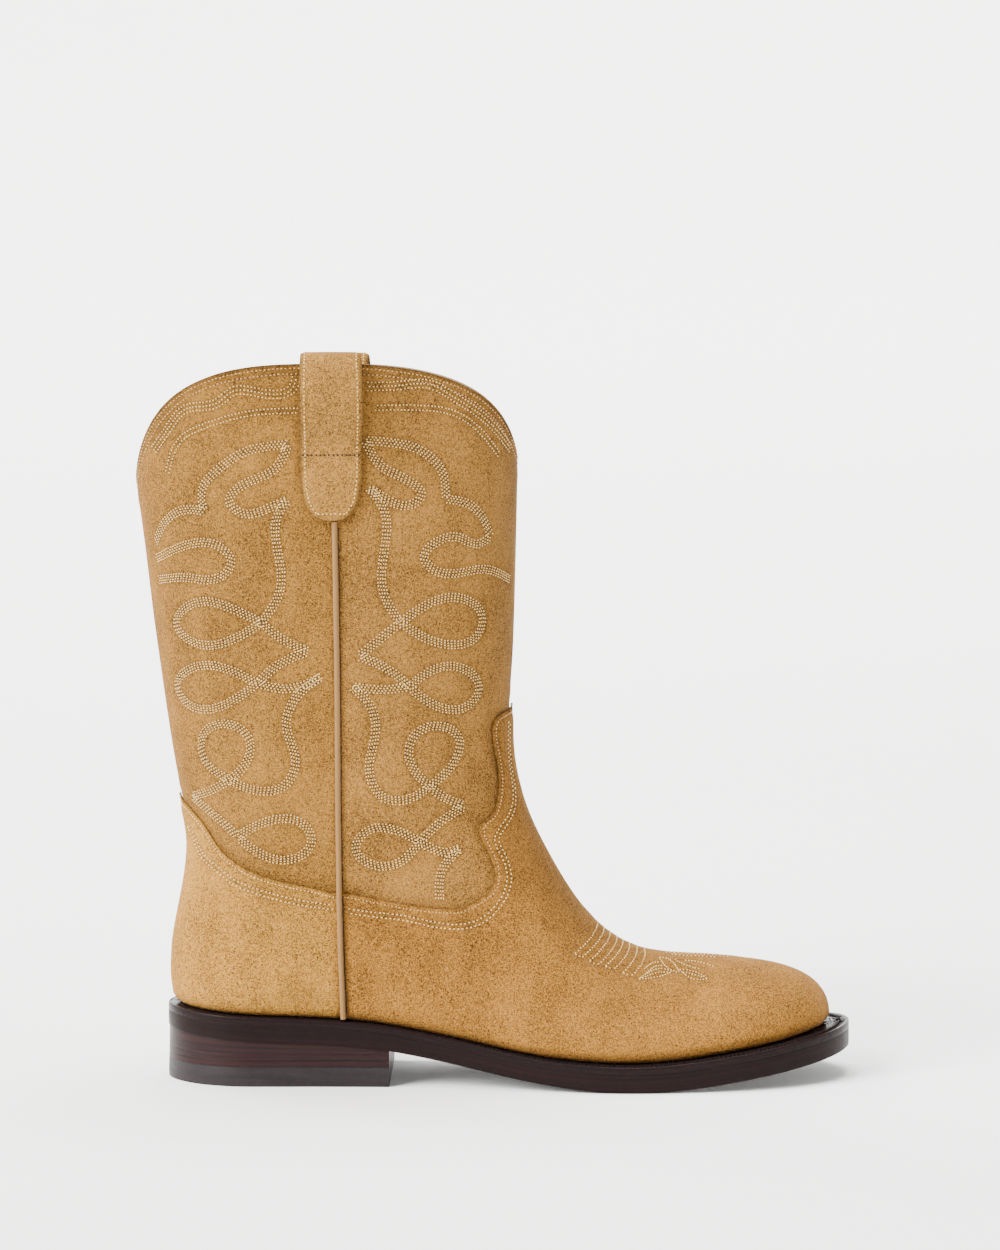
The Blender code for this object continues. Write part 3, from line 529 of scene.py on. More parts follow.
def leather(name, ring, layer, columns, rows, stuff, relief=None, pared=False,
            dim=CUT_EDGE):
    """A leather piece: its (theta, t) outline filled with a fine lattice, then given thickness.

    The cut edge is rounded and shaded by dim. relief(points) gives a height change and painted
    shade to its face.
    """
    rings = [ring] + [inset(ring, d) for d in INSETS[1:]]
    lattice = np.array([(a, t) for a in columns for t in rows])
    inner = clear_of(lattice * SCALE, rings[-1] * SCALE, LATTICE_GAP)
    n = len(ring)
    flat = np.concatenate([r * SCALE for r in rings] + [inner])
    border = [(i, (i + 1) % n) for i in range(n)]
    verts, _, tris, origin, *_ = delaunay_2d_cdt(flat.tolist(), border, [], 1, 1e-7)
    source = np.array([o[0] if o else -1 for o in origin])
    uv = np.array([tuple(v) for v in verts]) / SCALE
    d = np.array(INSETS)[np.clip(source // n, 0, 2)]
    d[source >= 3 * n] = EDGE_ROUND
    drop = EDGE_ROUND - np.sqrt(EDGE_ROUND**2 - (EDGE_ROUND - d)**2)
    face = skin(uv[:, 0], uv[:, 1], layer[1])[0]
    lift, shade = relief(face) if relief else (0 * drop, 1 + 0 * drop)
    if pared:
        border_tree = tree_of(skin(ring[:, 0], ring[:, 1], layer[1])[0])
        drop = drop + skive(gaps(border_tree, face))
    shade = shade * np.where(source < 3 * n, np.interp(d, INSETS, dim), 1.0)
    outer = skin(uv[:, 0], uv[:, 1], layer[1] - drop * PARE_SHARE + lift * (d >= EDGE_ROUND))[0]
    back = skin(uv[:, 0], uv[:, 1], layer[0])[0]
    faces = np.array([tuple(t) for t in tris])
    ends = np.concatenate([faces[:, [0, 1]], faces[:, [1, 2]], faces[:, [2, 0]]])
    key, count = np.unique(np.sort(ends, 1), axis=0, return_inverse=True, return_counts=True)[1:]
    walls = ends[count[key.ravel()] == 1]
    m = len(uv)
    quads = np.column_stack([walls[:, 0], walls[:, 1], walls[:, 1] + m, walls[:, 0] + m])
    every = (faces + m).tolist() + faces[:, ::-1].tolist() + quads.tolist()
    return solid(name, np.concatenate([back, outer]), every, stuff,
                 floats={"shade": np.concatenate([0 * shade + 0.9, shade])})


def plan(theta, e):
    """Plan point at distance e outside the foot of the wall."""
    p, n = wall(theta, 0.0), wall_normal(theta, 0.0)
    return p[..., :2] + unit(n[..., :2]) * np.asarray(e, float)[..., None]


def plan_x(theta):
    return plan(theta, 0 * theta)[:, 0]


def grain(points, height):
    """Where the streaks of a burnished edge run: along the boot, at a height in the layer."""
    return np.column_stack([points[:, 0] * 0.012, points[:, 1] * 0.012, height])


def slab(name, thetas, rings, stuff, open_front=True):
    """A flat piece under the foot through rings of (outset, height) functions, bottom to top."""
    loops, marks = [], []
    for e, z, mark in rings:
        for side in (thetas, -thetas):
            x = plan_x(side)
            p = plan(side, e(x))
            loops.append(np.column_stack([p, z(p[:, 0])]))
            marks.append(grain(p, np.full(len(p), float(mark))))
    n, points = len(thetas), np.concatenate(loops)
    faces = []
    for i in range(n - 1):
        top = 2 * n * (len(rings) - 1)
        faces.append((i, n + i, n + i + 1, i + 1))
        faces.append((top + i, top + i + 1, top + n + i + 1, top + n + i))
        for r in range(len(rings) - 1):
            a, b = 2 * n * r + i, 2 * n * (r + 1) + i
            faces += [(a, a + 1, b + 1, b), (a + n, b + n, b + n + 1, a + n + 1)]
    if not open_front:
        end = [2 * n * r + n - 1 for r in range(len(rings))]
        faces.append(end + [e + n for e in reversed(end)])
    whole = []
    for face in faces:
        keep = [i for k, i in enumerate(face)
                if np.linalg.norm(points[i] - points[face[k - 1]]) > 1e-6]
        if len(keep) > 2:
            whole.append(keep)
    return solid(name, points, whole, stuff, 28, vectors={"grain": np.concatenate(marks)})


def between(rings, sides, first=0):
    """Faces between closed rings of points, numbered ring by ring from first."""
    faces = []
    for r in range(rings - 1):
        low = first + r * sides
        for k in range(sides):
            after = (k + 1) % sides
            faces.append((low + k, low + after, low + sides + after, low + sides + k))
    return faces


def loft(name, rings, stuff, angle=42, floats=None):
    """A solid through equal closed rings, capped at both ends."""
    rings = np.array(rings)
    k, m = rings.shape[:2]
    faces = [list(range(m))[::-1], [(k - 1) * m + i for i in range(m)]] + between(k, m)
    return solid(name, rings.reshape(-1, 3), faces, stuff, angle, floats)


# ---------------------------------------------------------------- sewing
def course(p, n, offset=0.0, pitch=PITCH, phase=0.0, share=0.53):
    """Stitch ends and normals along a dense surface line, shifted sideways by offset."""
    run = unit(np.gradient(p, axis=0))
    p = p + unit(np.cross(n, run)) * offset
    s = lengths(p)
    start = np.arange(0.2 + phase * pitch, s[-1] - pitch * share, pitch)
    end, middle = start + pitch * share, start + pitch * share / 2
    return read_at(start, s, p), read_at(end, s, p), unit(read_at(middle, s, n))


BAND = (-1.5, -0.5, 0.5, 1.5)
DOUBLE = (-0.95, 0.95)
TRIPLE = (-1.6, 0, 1.6)
EDGE_ROW = 1.5  # from a cover's cut edge to the row that holds it down
# how far stitches stray sideways, and their two ends lengthways
STRAY_SIDE, STRAY_START, STRAY_END = 0.08, 0.09, 0.05
# share of a stitch's length, height above its sunk base, size of its ring there
STRAND = ((0.16, 0.13, 0.85), (0.5, 0.24, 1.0), (0.84, 0.13, 0.85))
STRAND_SIDES, STRAND_DIP = 5, -0.12
# a needle hole: how far before its stitch as a share of it, half sizes, and its depths
HOLE_BACK, HOLE_WIDE, HOLE_LONG = 0.2, 0.33, 0.36
HOLE_RIM, HOLE_TOP, HOLE_FLOOR = -0.05, -0.11, 0.25


def band(p, n, offsets=BAND, **options):
    """Several parallel courses, neighbouring rows half a stitch apart."""
    rows = [course(p, n, o, phase=0.5 * (k % 2), **options) for k, o in enumerate(offsets)]
    return [np.concatenate(c) for c in zip(*rows)]


def sewn(name, courses, stuff, radius=THREAD_R, sink=0.22, holes=True):
    """The threads of a seam as small arched strands, with the needle holes between them."""
    a, b, n = (np.concatenate(c) for c in zip(*courses))
    run = unit(b - a)
    side = unit(np.cross(n, run))
    n = np.cross(run, side)
    stray = np.random.default_rng(SEED).normal(0, 1, (3, len(a), 1))
    a = a + side * stray[0] * STRAY_SIDE + run * stray[1] * STRAY_START
    b = b + side * stray[2] * STRAY_SIDE + run * stray[1] * STRAY_END
    sides = STRAND_SIDES
    turns = [k * 2 * math.pi / sides for k in range(sides)]
    ring = [(math.cos(turn), math.sin(turn)) for turn in turns]
    spots = [(0.0, 0.0, STRAND_DIP)]
    spots += [(u, c * radius * w, h + s * radius * w) for u, h, w in STRAND for c, s in ring]
    spots += [(1.0, 0.0, STRAND_DIP)]
    points = [a + (b - a) * u + side * v + n * (h - sink) for u, v, h in spots]
    count = len(spots)
    last = count - 1 - sides
    faces = [(0, 1 + (k + 1) % sides, 1 + k) for k in range(sides)]
    faces += between(len(STRAND), sides, 1)
    faces += [(count - 1, last + k, last + (k + 1) % sides) for k in range(sides)]
    base = np.stack(points, 1).reshape(-1, 3)
    shape = []
    for i in range(len(a)):
        shape += [tuple(v + i * count for v in f) for f in faces]
    slots = [0] * len(shape)
    if holes:
        at = a - run * np.linalg.norm(b - a, axis=1)[:, None] * HOLE_BACK
        spot = [at + side * HOLE_WIDE * c + run * HOLE_LONG * s - n * (sink + HOLE_RIM)
                for c, s in ring]
        spot += [at - n * (sink + HOLE_TOP), at - n * (sink + HOLE_FLOOR)]
        more = np.stack(spot, 1).reshape(-1, 3)
        cap = [(k, (k + 1) % sides, sides) for k in range(sides)]
        cap += [((k + 1) % sides, k, sides + 1) for k in range(sides)]
        for i in range(len(a)):
            shape += [tuple(v + len(base) + i * (sides + 2) for v in f) for f in cap]
        slots += [1] * (len(shape) - len(slots))
        base = np.concatenate([base, more])
    made = solid(name, base, shape, stuff, 60, slots=slots, weld=False)
    return made


# ---------------------------------------------------------------- materials
class Look:
    """A node material being put together; uniform values sit on the shader's own sockets."""

    def __init__(self, name, **sockets):
        self.made = bpy.data.materials.new(name)
        self.made.use_nodes = True
        self.tree = self.made.node_tree
        self.shader = self.tree.nodes["Principled BSDF"]
        for key, value in sockets.items():
            self.shader.inputs[key.replace("_", " ")].default_value = value
        self.place = self.node("TexCoord").outputs["Object"]

    def node(self, kind, links=(), **settings):
        made = self.tree.nodes.new("ShaderNode" + kind)
        for key, value in settings.items():
            setattr(made, key, value)
        for key, value in dict(links).items():
            self.put(made.inputs[key], value)
        return made

    def put(self, socket, value):
        if isinstance(value, bpy.types.NodeSocket):
            self.tree.links.new(value, socket)
        else:
            socket.default_value = value

    def read(self, name, output="Fac"):
        return self.node("Attribute", attribute_name=name).outputs[output]

    def stretched(self, scale, place=None, turn=(0, 0, 0)):
        links = {"Vector": place or self.place, "Scale": scale, "Rotation": turn}
        return self.node("Mapping", links).outputs["Vector"]

    def noise(self, scale, detail=2.0, roughness=0.55, place=None):
        links = {"Vector": place or self.place, "Scale": scale, "Detail": detail,
                 "Roughness": roughness}
        return self.node("TexNoise", links).outputs["Fac"]

    def cells(self, scale, feature="F1", output="Distance"):
        links = {"Vector": self.place, "Scale": scale}
        return self.node("TexVoronoi", links, feature=feature).outputs[output]

    def ramp(self, value, low, high, to_low=0.0, to_high=1.0):
        links = {"Value": value, "From Min": low, "From Max": high, "To Min": to_low,
                 "To Max": to_high}
        return self.node("MapRange", links).outputs["Result"]

    def sum(self, *terms):
        """Weighted sum of (value, weight) terms."""
        total = 0.0
        for value, weight in terms:
            total = self.node("Math", {0: value, 1: weight, 2: total},
                              operation="MULTIPLY_ADD").outputs[0]
        return total

    def blend(self, share, a, b):
        def full(c):
            return c if isinstance(c, bpy.types.NodeSocket) else (*c, 1)
        made = self.node("Mix", data_type="RGBA")
        for index, value in ((0, share), (6, full(a)), (7, full(b))):
            self.put(made.inputs[index], value)
        return made.outputs[2]

    def scaled(self, colour, factor):
        links = {0: colour, "Scale": factor}
        return self.node("VectorMath", links, operation="SCALE").outputs[0]

    def finish(self, colour, height=None, depth=0.0003, strength=1.0, roughness=None):
        self.put(self.shader.inputs["Base Color"], colour)
        if roughness is not None:
            self.put(self.shader.inputs["Roughness"], roughness)
        if height is not None:
            bump = self.node("Bump", {"Height": height, "Distance": depth, "Strength": strength})
            self.put(self.shader.inputs["Normal"], bump.outputs["Normal"])
        return self.made


SUEDE_DARK, SUEDE_LIGHT = 0.2, 2.0


def suede(name, mean):
    """Napped leather: clumped fibres, brushed patches, times the shade attribute: painted shade
    where it is sewn down, beside laps, above the welt and along the shin, and darker cut edges.
    """
    look = Look(name, Roughness=0.95, Sheen_Weight=0.05, Sheen_Roughness=0.5,
                Sheen_Tint=(1.0, 0.62, 0.28, 1), Specular_IOR_Level=0.08)
    dark, light = [c * SUEDE_DARK for c in mean], [c * SUEDE_LIGHT for c in mean]
    fibre = look.noise(2300, 2.0, 0.6)
    nap = look.noise(1050, 1.5, 0.55)
    patch = look.noise(70, 3.0, 0.55, look.stretched((1, 1, 0.6)))
    broad = look.noise(22, 2.0)
    tone = look.sum((look.ramp(fibre, 0.34, 0.66), 0.57), (look.ramp(nap, 0.32, 0.68), 0.22),
                    (look.ramp(patch, 0.32, 0.68), 0.12), (look.ramp(broad, 0.36, 0.64), 0.09))
    colour = look.scaled(look.blend(look.ramp(tone, 0.2, 0.8), dark, light), look.read("shade"))
    height = look.sum((fibre, 0.5), (nap, 0.5))
    return look.finish(colour, height, 0.0007, 1.0)


def burnished(name, dark, red, streak, rough, shine):
    """Stained sole leather, its edge streaked along the layers and polished."""
    look = Look(name, Specular_IOR_Level=shine)
    lay = look.read("grain", "Vector")
    fine = look.noise(1.0, 3.0, 0.6, look.stretched((1, 1, 3.4), lay))
    wide = look.noise(1.0, 2.0, 0.5, look.stretched((0.6, 0.6, 0.8), lay))
    rub = look.noise(160, 3.0)
    share = look.sum((look.ramp(fine, 0.42, 0.66), streak), (look.ramp(wide, 0.4, 0.7), 0.35))
    colour = look.blend(share, dark, red)
    rough_at = look.ramp(look.sum((rub, 0.5), (fine, 0.5)), 0.3, 0.7, rough - 0.08, rough + 0.12)
    return look.finish(colour, look.sum((fine, 0.7), (rub, 0.3)), 0.0003, 0.35, rough_at)


def grained(name, dark, light, scale, rough, depth=0.0002):
    """Smooth leather with pores and a pebbled grain."""
    look = Look(name, Specular_IOR_Level=0.35)
    pebble = look.cells(scale, "SMOOTH_F1")
    mottle = look.noise(60, 3.0)
    tone = look.sum((look.ramp(pebble, 0.1, 0.6), 0.35), (look.ramp(mottle, 0.3, 0.7), 0.65))
    rough_at = look.ramp(mottle, 0.3, 0.7, rough - 0.08, rough + 0.1)
    return look.finish(look.blend(tone, dark, light), pebble, depth, 0.5, rough_at)


def rubber():
    look = Look("top_lift_rubber", Specular_IOR_Level=0.15)
    grit = look.noise(900, 3.0)
    wear = look.noise(40, 2.0, 0.6, look.stretched((1, 1, 9)))
    tone = look.sum((look.ramp(grit, 0.3, 0.7), 0.3), (look.ramp(wear, 0.3, 0.7), 0.7))
    colour = look.blend(tone, (0.010, 0.0075, 0.008), (0.019, 0.0145, 0.0155))
    return look.finish(colour, grit, 0.0002, 0.5, look.ramp(wear, 0.3, 0.7, 0.36, 0.52))


def thread(name, dark, light, gloss=0.3, glow=0.2):
    """Twisted thread: fine diagonal twist over each strand."""
    look = Look(name, Roughness=0.62, Sheen_Weight=glow, Sheen_Roughness=0.4,
                Specular_IOR_Level=gloss)
    twist = look.noise(2600, 1.5, 0.5, look.stretched((1, 1, 2), turn=(0.5, 0.4, 0.6)))
    uneven = look.noise(850, 1.0)
    share = look.sum((look.ramp(twist, 0.3, 0.7), 0.4), (look.ramp(uneven, 0.36, 0.64), 0.6))
    return look.finish(look.blend(share, dark, light), twist, 0.0002, 0.7)


def pierced():
    look = Look("needle_hole", Roughness=0.95)
    # near black: painted shade inside the needle holes and in the ditch; the same look is the dark
    # thread of the strap's bar
    dark_speckle = look.noise(1800, 1.0)
    colour = look.blend(dark_speckle, (0.010, 0.004, 0.0012), (0.032, 0.014, 0.004))
    return look.finish(colour, dark_speckle, 0.0001)


def fibrous(name, dark, light, scale, stretch=(1, 1, 1), cells=False):
    """Pressed fibre, felt or cork."""
    look = Look(name)
    fibres = look.noise(scale, 5.0, 0.65, look.stretched(stretch))
    tone = look.ramp(fibres, 0.32, 0.68)
    if cells:
        bits = look.cells(scale, "F1", output="Color")
        tone = look.sum((tone, 0.45), (look.node("RGBToBW", {0: bits}).outputs[0], 0.55))
    return look.finish(look.blend(tone, dark, light), fibres, 0.0004, 0.7,
                       look.ramp(fibres, 0.3, 0.7, 0.82, 0.94))


def metal(name, dark, light):
    look = Look(name, Metallic=1.0)
    rolled = look.noise(900, 3.0, 0.6, look.stretched((0.05, 1, 1)))
    return look.finish(look.blend(look.ramp(rolled, 0.3, 0.7), dark, light), rolled, 0.0001, 0.4,
                       look.ramp(rolled, 0.3, 0.7, 0.28, 0.45))


# ---------------------------------------------------------------- the stitched pattern
# Side-view control points (x, z) of the shaft's flourishes, sewn alike on both sides.
BACK_FLOURISH = [
    [(-82, 261), (-99, 258), (-111, 250), (-116.5, 243), (-116, 234)],
    [(-116, 234), (-124, 234.5), (-132, 229.5), (-136.5, 220.5)],
    [(-82, 261), (-87, 251.5), (-100.5, 244.5), (-105.5, 238), (-100.5, 233.5), (-90, 235.5),
     (-82, 239)],
    [(-82, 239), (-86.5, 232), (-86.5, 219.5), (-85.5, 203), (-93, 189.5)],
    [(-136.5, 214), (-124, 220), (-110, 220), (-105, 214), (-110, 207.5), (-123, 207),
     (-135.5, 205.5)],
    [(-93, 189.5), (-107.5, 196), (-121, 196.5), (-128, 188), (-120, 180.5), (-106, 182),
     (-93, 189.5)],
    [(-93, 189.5), (-84, 182.5), (-74.5, 178)],
    [(-74.5, 178), (-85, 173.5), (-95, 165)],
    [(-95, 165), (-107.5, 170.5), (-121, 170.5), (-128, 163), (-122, 154.5), (-109, 155.5),
     (-95, 165)],
    [(-95, 165), (-82, 163), (-69, 168)],
    [(-69, 168), (-79, 160), (-83.5, 148), (-80, 134), (-85, 123), (-98, 121.5), (-107.5, 125.5)],
    [(-107.5, 125.5), (-117, 133), (-117, 143.5), (-109, 148), (-99, 143), (-99.5, 133),
     (-107, 125), (-115, 120), (-122.5, 117)],
    [(-122.5, 117), (-113, 110), (-103.5, 102)],
    [(-103.5, 102), (-90, 109), (-77, 107.5), (-74, 100), (-82.5, 93), (-95, 95.5),
     (-103.5, 101.5)],
]
FRONT_FLOURISH = [
    [(-51.5, 262.5), (-40, 261.5), (-29, 258), (-21.5, 250), (-20, 239)],
    [(-20, 239), (-10, 236), (-5, 230), (-2.5, 223.5)],
    [(-51.5, 262.5), (-46, 253), (-34, 246), (-29.5, 240.5), (-35, 236.5), (-43, 239),
     (-50.5, 244)],
    [(-50.5, 244), (-44, 234), (-44.5, 217), (-44.5, 201.5), (-38, 189.5)],
    [(-2.5, 223.5), (-7, 220.5), (-15.5, 223.5), (-24, 221.5), (-28.5, 216), (-26, 211.5),
     (-15, 209), (-4, 210), (5.5, 205)],
    [(-38, 189.5), (-26.5, 197), (-15, 199), (-6, 192), (-8.5, 182.5), (-21, 180.5),
     (-38, 189.5)],
    [(-38, 189.5), (-46, 183), (-54.5, 176)],
    [(-54.5, 176), (-45, 172), (-34.5, 163.5)],
    [(-34.5, 163.5), (-24, 170.5), (-13, 170), (-7, 162), (-12, 154.5), (-24, 155.5),
     (-34.5, 163.5)],
    [(-34.5, 163.5), (-46, 162.5), (-57.5, 164)],
    [(-57.5, 164), (-50, 156), (-48, 145), (-50.5, 130), (-44, 118), (-34, 118), (-26.5, 122.5)],
    [(-26.5, 122.5), (-17, 132), (-15, 142), (-22, 147), (-33, 143), (-34.5, 134),
     (-26.5, 122.5), (-20, 117.5), (-12.5, 114)],
    [(-12.5, 114), (-22, 108), (-30, 100.5)],
    [(-30, 100.5), (-38, 92), (-48, 90.5), (-56, 97), (-50, 105.5), (-40, 105), (-30, 100),
     (-20, 95.5), (-14, 97)],
    [(-14, 97), (-21.5, 88), (-22, 75.5)],
]
# the scalloped triple row and the plain double row that follow the top line
BACK_WAVE = [(-78.5, 288), (-80, 283.5), (-93, 281.5), (-104, 282), (-110, 277.5), (-123, 275),
             (-130, 267.5), (-137, 258)]
FRONT_WAVE = [(-51, 284), (-37.5, 284.5), (-25, 284.5), (-19.5, 281.5), (-2, 268.5), (5.5, 258.5)]
BACK_DOUBLE = [(-77.5, 274.5), (-99, 273), (-116, 268), (-125, 263), (-131, 249)]
FRONT_DOUBLE = [(-48, 275.5), (-30.5, 275.5), (-17.5, 273.5), (-6, 265.5), (1, 256)]
VAMP_DOUBLE = [(3.4, 147), (4.0, 128), (4.3, 108), (1.6, 104), (-0.4, 99.5), (1.2, 95), (4.7, 86),
               (4.3, 79), (0.4, 72.4), (-4.5, 68), (-17, 65.5), (-36, 69), (-48, 70.5),
               (-59.5, 72)]
COUNTER_DOUBLE = [(-123, 105), (-120, 99), (-116.5, 92.5), (-110.5, 87.5), (-105, 83.5),
                  (-96, 80), (-87.5, 77.5), (-76, 75), (-65, 73.5)]
# lower ends of the toe's cross rows and where each meets the ridge
TOE_ROWS = [((32.5, 54), 40.5), ((35.5, 52.5), 43.2), ((38.5, 51), 45.9), ((42, 49.3), 48.8),
            ((45, 48.6), 51.5), ((48.7, 47.4), 54.4), ((52.2, 45.8), 57.6), ((55.8, 44.6), 61)]
# Leaf edges as seen from the side, on the face of the vamp.
LEAVES = [[(58.6, 43.2), (63, 45.4), (68.5, 46.3), (73, 45.2)],
          [(58.6, 43.2), (64, 43.5), (69, 44.2), (73, 45.2)],
          [(60, 43.6), (66, 45), (72, 45)],
          [(67.6, 49.6), (70.8, 49.2), (74, 47.2), (75.6, 44.8)],
          [(67.6, 49.6), (69.5, 47.4), (72.5, 45.6), (75.6, 44.8)],
          [(75.5, 45.8), (80, 45.4), (84, 44.2), (87, 42.6)],
          [(75.5, 45.8), (78.5, 43.8), (83, 42.4), (87, 42.6)],
          [(76.5, 45), (81, 44.2), (86, 42.9)],
          [(78, 48.4), (84, 47.8), (90, 46.4)],
          [(61, 46.5), (65, 48.3), (68, 48.2)],
          [(62, 45.2), (66, 47.2), (69.5, 47)],
          [(74, 48.8), (79, 46.9), (84, 45.8)]]
ROW_BEND = 1.7  # how sharply the toe's rows bend up to the ridge
VEINS = (-0.09, 0.0, 0.09)  # angles from the ridge of the lines down the middle of the spray


def on_side(points, side, h):
    x, z = dense(points).T
    return flank(x, z, side, h)


def on_run(run, h):
    run = even(run, 0.35)
    return skin(run[:, 0], run[:, 1], h)


def ditch(side, low, high, h):
    """Stitches in the corner between the piping and the front leather; sewn in the near-black hole
    look, they also paint the seam's shadow line there.
    """
    z = np.arange(low, high, 0.35)
    return flank(SEAM_X(z) + 1.45, z, side, h)


def ridge_level(x):
    """Level at which the top of the foot, seen from the side, is at station x."""
    levels = np.linspace(0.02, 0.5, 400)
    xs = wall(np.full(400, math.pi), levels)[:, 0]
    return np.interp(-x, -xs, levels)


def toe_bug(h):
    """Cross rows over the ridge of the vamp, joined zigzag, and a spray of leaves before them."""
    courses = []
    ends = theta_at(*np.array([low for low, _ in TOE_ROWS]).T, h)
    for (theta, t), (_, ridge) in zip(ends, TOE_ROWS):
        top = float(ridge_level(ridge))
        a = np.linspace(theta, 2 * math.pi - theta, 200)
        b = top + (t - top) * (np.abs(a - math.pi) / (math.pi - theta))**ROW_BEND
        courses.append(course(*on_run(np.column_stack([a, b]), h), pitch=1.8, share=0.5))
    for k in range(0, len(ends) - 1, 2):
        link = np.linspace(ends[k], ends[k + 1], 30)
        courses += [course(*on_run(run, h)) for run in (link, mirror(link))]
    for line in LEAVES:
        run = theta_at(*dense(line, 1.0).T, h)
        courses += [course(*on_run(r, h), pitch=1.3, share=0.56) for r in (run, mirror(run))]
    for a in VEINS:
        stations = np.linspace(70 + 30 * abs(a), 97 - 60 * abs(a), 60)
        vein = np.column_stack([np.full(60, math.pi + a), ridge_level(stations)])
        courses.append(course(*on_run(vein, h), pitch=1.6))
    return courses


def sew_pattern(cream, special, vamp_top, counter_top):
    """Every seam of the upper. Returns the middle of each stitch, for the dents round them.

    cream is the usual thread, special holds the others by seam, each with its hole's look, and
    vamp_top and counter_top are the runs of the rows along the covers' edges.
    """
    seams = {}
    shaft, cover = MIDDLE[1], OUTER[1]
    for side, word in ((-1, "outer"), (1, "inner")):
        for key, flourish, wave, double in (("back", BACK_FLOURISH, BACK_WAVE, BACK_DOUBLE),
                                            ("front", FRONT_FLOURISH, FRONT_WAVE, FRONT_DOUBLE)):
            rows = [band(*on_side(line, side, shaft)) for line in flourish]
            rows.append(band(*on_side(wave, side, shaft), offsets=TRIPLE))
            rows.append(band(*on_side(double, side, shaft), offsets=DOUBLE))
            seams[f"stitch_{key}_{word}"] = rows
        for name, line in (("vamp", VAMP_DOUBLE), ("counter", COUNTER_DOUBLE)):
            rows = [band(*on_side(line, side, cover), offsets=DOUBLE, pitch=1.75)]
            seams.setdefault("stitch_" + name, []).extend(rows)
    low = cover - PARE_SHARE * float(skive(EDGE_ROW))
    seams["stitch_vamp_edge"] = [course(*on_run(vamp_top, low))]
    seams["stitch_counter"].append(course(*on_run(counter_top, low)))
    top = across(1.0, 0, 2 * math.pi)
    seams["stitch_rim"] = [course(*on_run(aside(top, -d), shaft), pitch=1.7) for d in (1.7, 3.9)]
    seams["stitch_toe"] = toe_bug(cover)
    seams["ditch_stitch_painted_shadow"] = [course(*ditch(side, *run), pitch=1.4, share=0.75) for side in (-1, 1)
                             for run in ((29.5, 78.2, cover), (80.5, 229.5, shaft))]
    for name, rows in seams.items():
        sewn(name, rows, special.get(name, cream))
    return np.concatenate([(a + b) / 2 for rows in seams.values() for a, b, _ in rows])


# what a seam does to the leather round it, with the painted shade in its dents: how much, and how
# far it reaches
SWELL, SWELL_AT, SWELL_REACH = 0.16, 5, 2.6
DENT, DENT_REACH = 0.24, 1.25
SEWN_PAINTED_SHADE, SEWN_REACH = 0.3, 1.1
# painted shade: the shadow beside the edge of a piece that lies over this one, the corner's shade
# above the welt, and shade along the shin on the side turned from the light
LAP_PAINTED_SHADOW, LAP_REACH = 0.28, 3
WELT_REACH = 3.2
SHIN_PAINTED_SHADE, SHIN_REACH, SHIN_FROM, SHIN_RISE = 0.3, 11, 52, 25


def relief(tree, foot=0.0, laps=None):
    """Dents along the stitches with soft swelling beside them, and painted shade in and round the
    dents.

    The leather is painted darker above the welt by foot, partly as the shade of the corner there,
    and beside the edges that lie over it (laps) as their painted shadow; along the shin it gets
    painted shade.
    """
    def at(points):
        d = gaps(tree, points)
        lift = SWELL * fade(d - SWELL_AT, SWELL_REACH) - DENT * fade(d, DENT_REACH)
        # painted shade in the dents along the stitches
        shade = 1 - SEWN_PAINTED_SHADE * fade(d, SEWN_REACH)
        high = points[:, 2] - FEATHER(points[:, 0])
        # painted darker just above the welt, partly as the corner's shade
        shade *= 1 - foot * np.exp(-np.clip(high - 1, 0, None) / WELT_REACH)
        # painted shadow beside the edges of the covers and straps that lie over this leather
        if laps:
            shade *= 1 - LAP_PAINTED_SHADOW * fade(gaps(laps, points), LAP_REACH)
        # painted shade along the shin, on the side turned from the key light
        shin = fade(look_up(FRONT_D, points[:, 0], points[:, 2]), SHIN_REACH)
        shade *= 1 - SHIN_PAINTED_SHADE * smooth((points[:, 2] - SHIN_FROM) / SHIN_RISE) * shin
        return lift, shade
    return at


def strap_path(count):
    """Evenly spaced (centre, normal, half width) along the strap's path."""
    fine = dense(STRAP_PATH, 0.25)
    s = lengths(fine)
    at = np.linspace(0, s[-1], count)
    p = read_at(at, s, fine)
    d = np.gradient(p, axis=0)
    n = np.column_stack([d[:, 1], -d[:, 0]]) / np.linalg.norm(d, axis=1)[:, None]
    wide = STRAP_WIDTH(np.clip(p[:, 1], 230.9, 300))
    return p, n, np.where(at < s[-1] * 0.5, wide, STRAP_HALF)


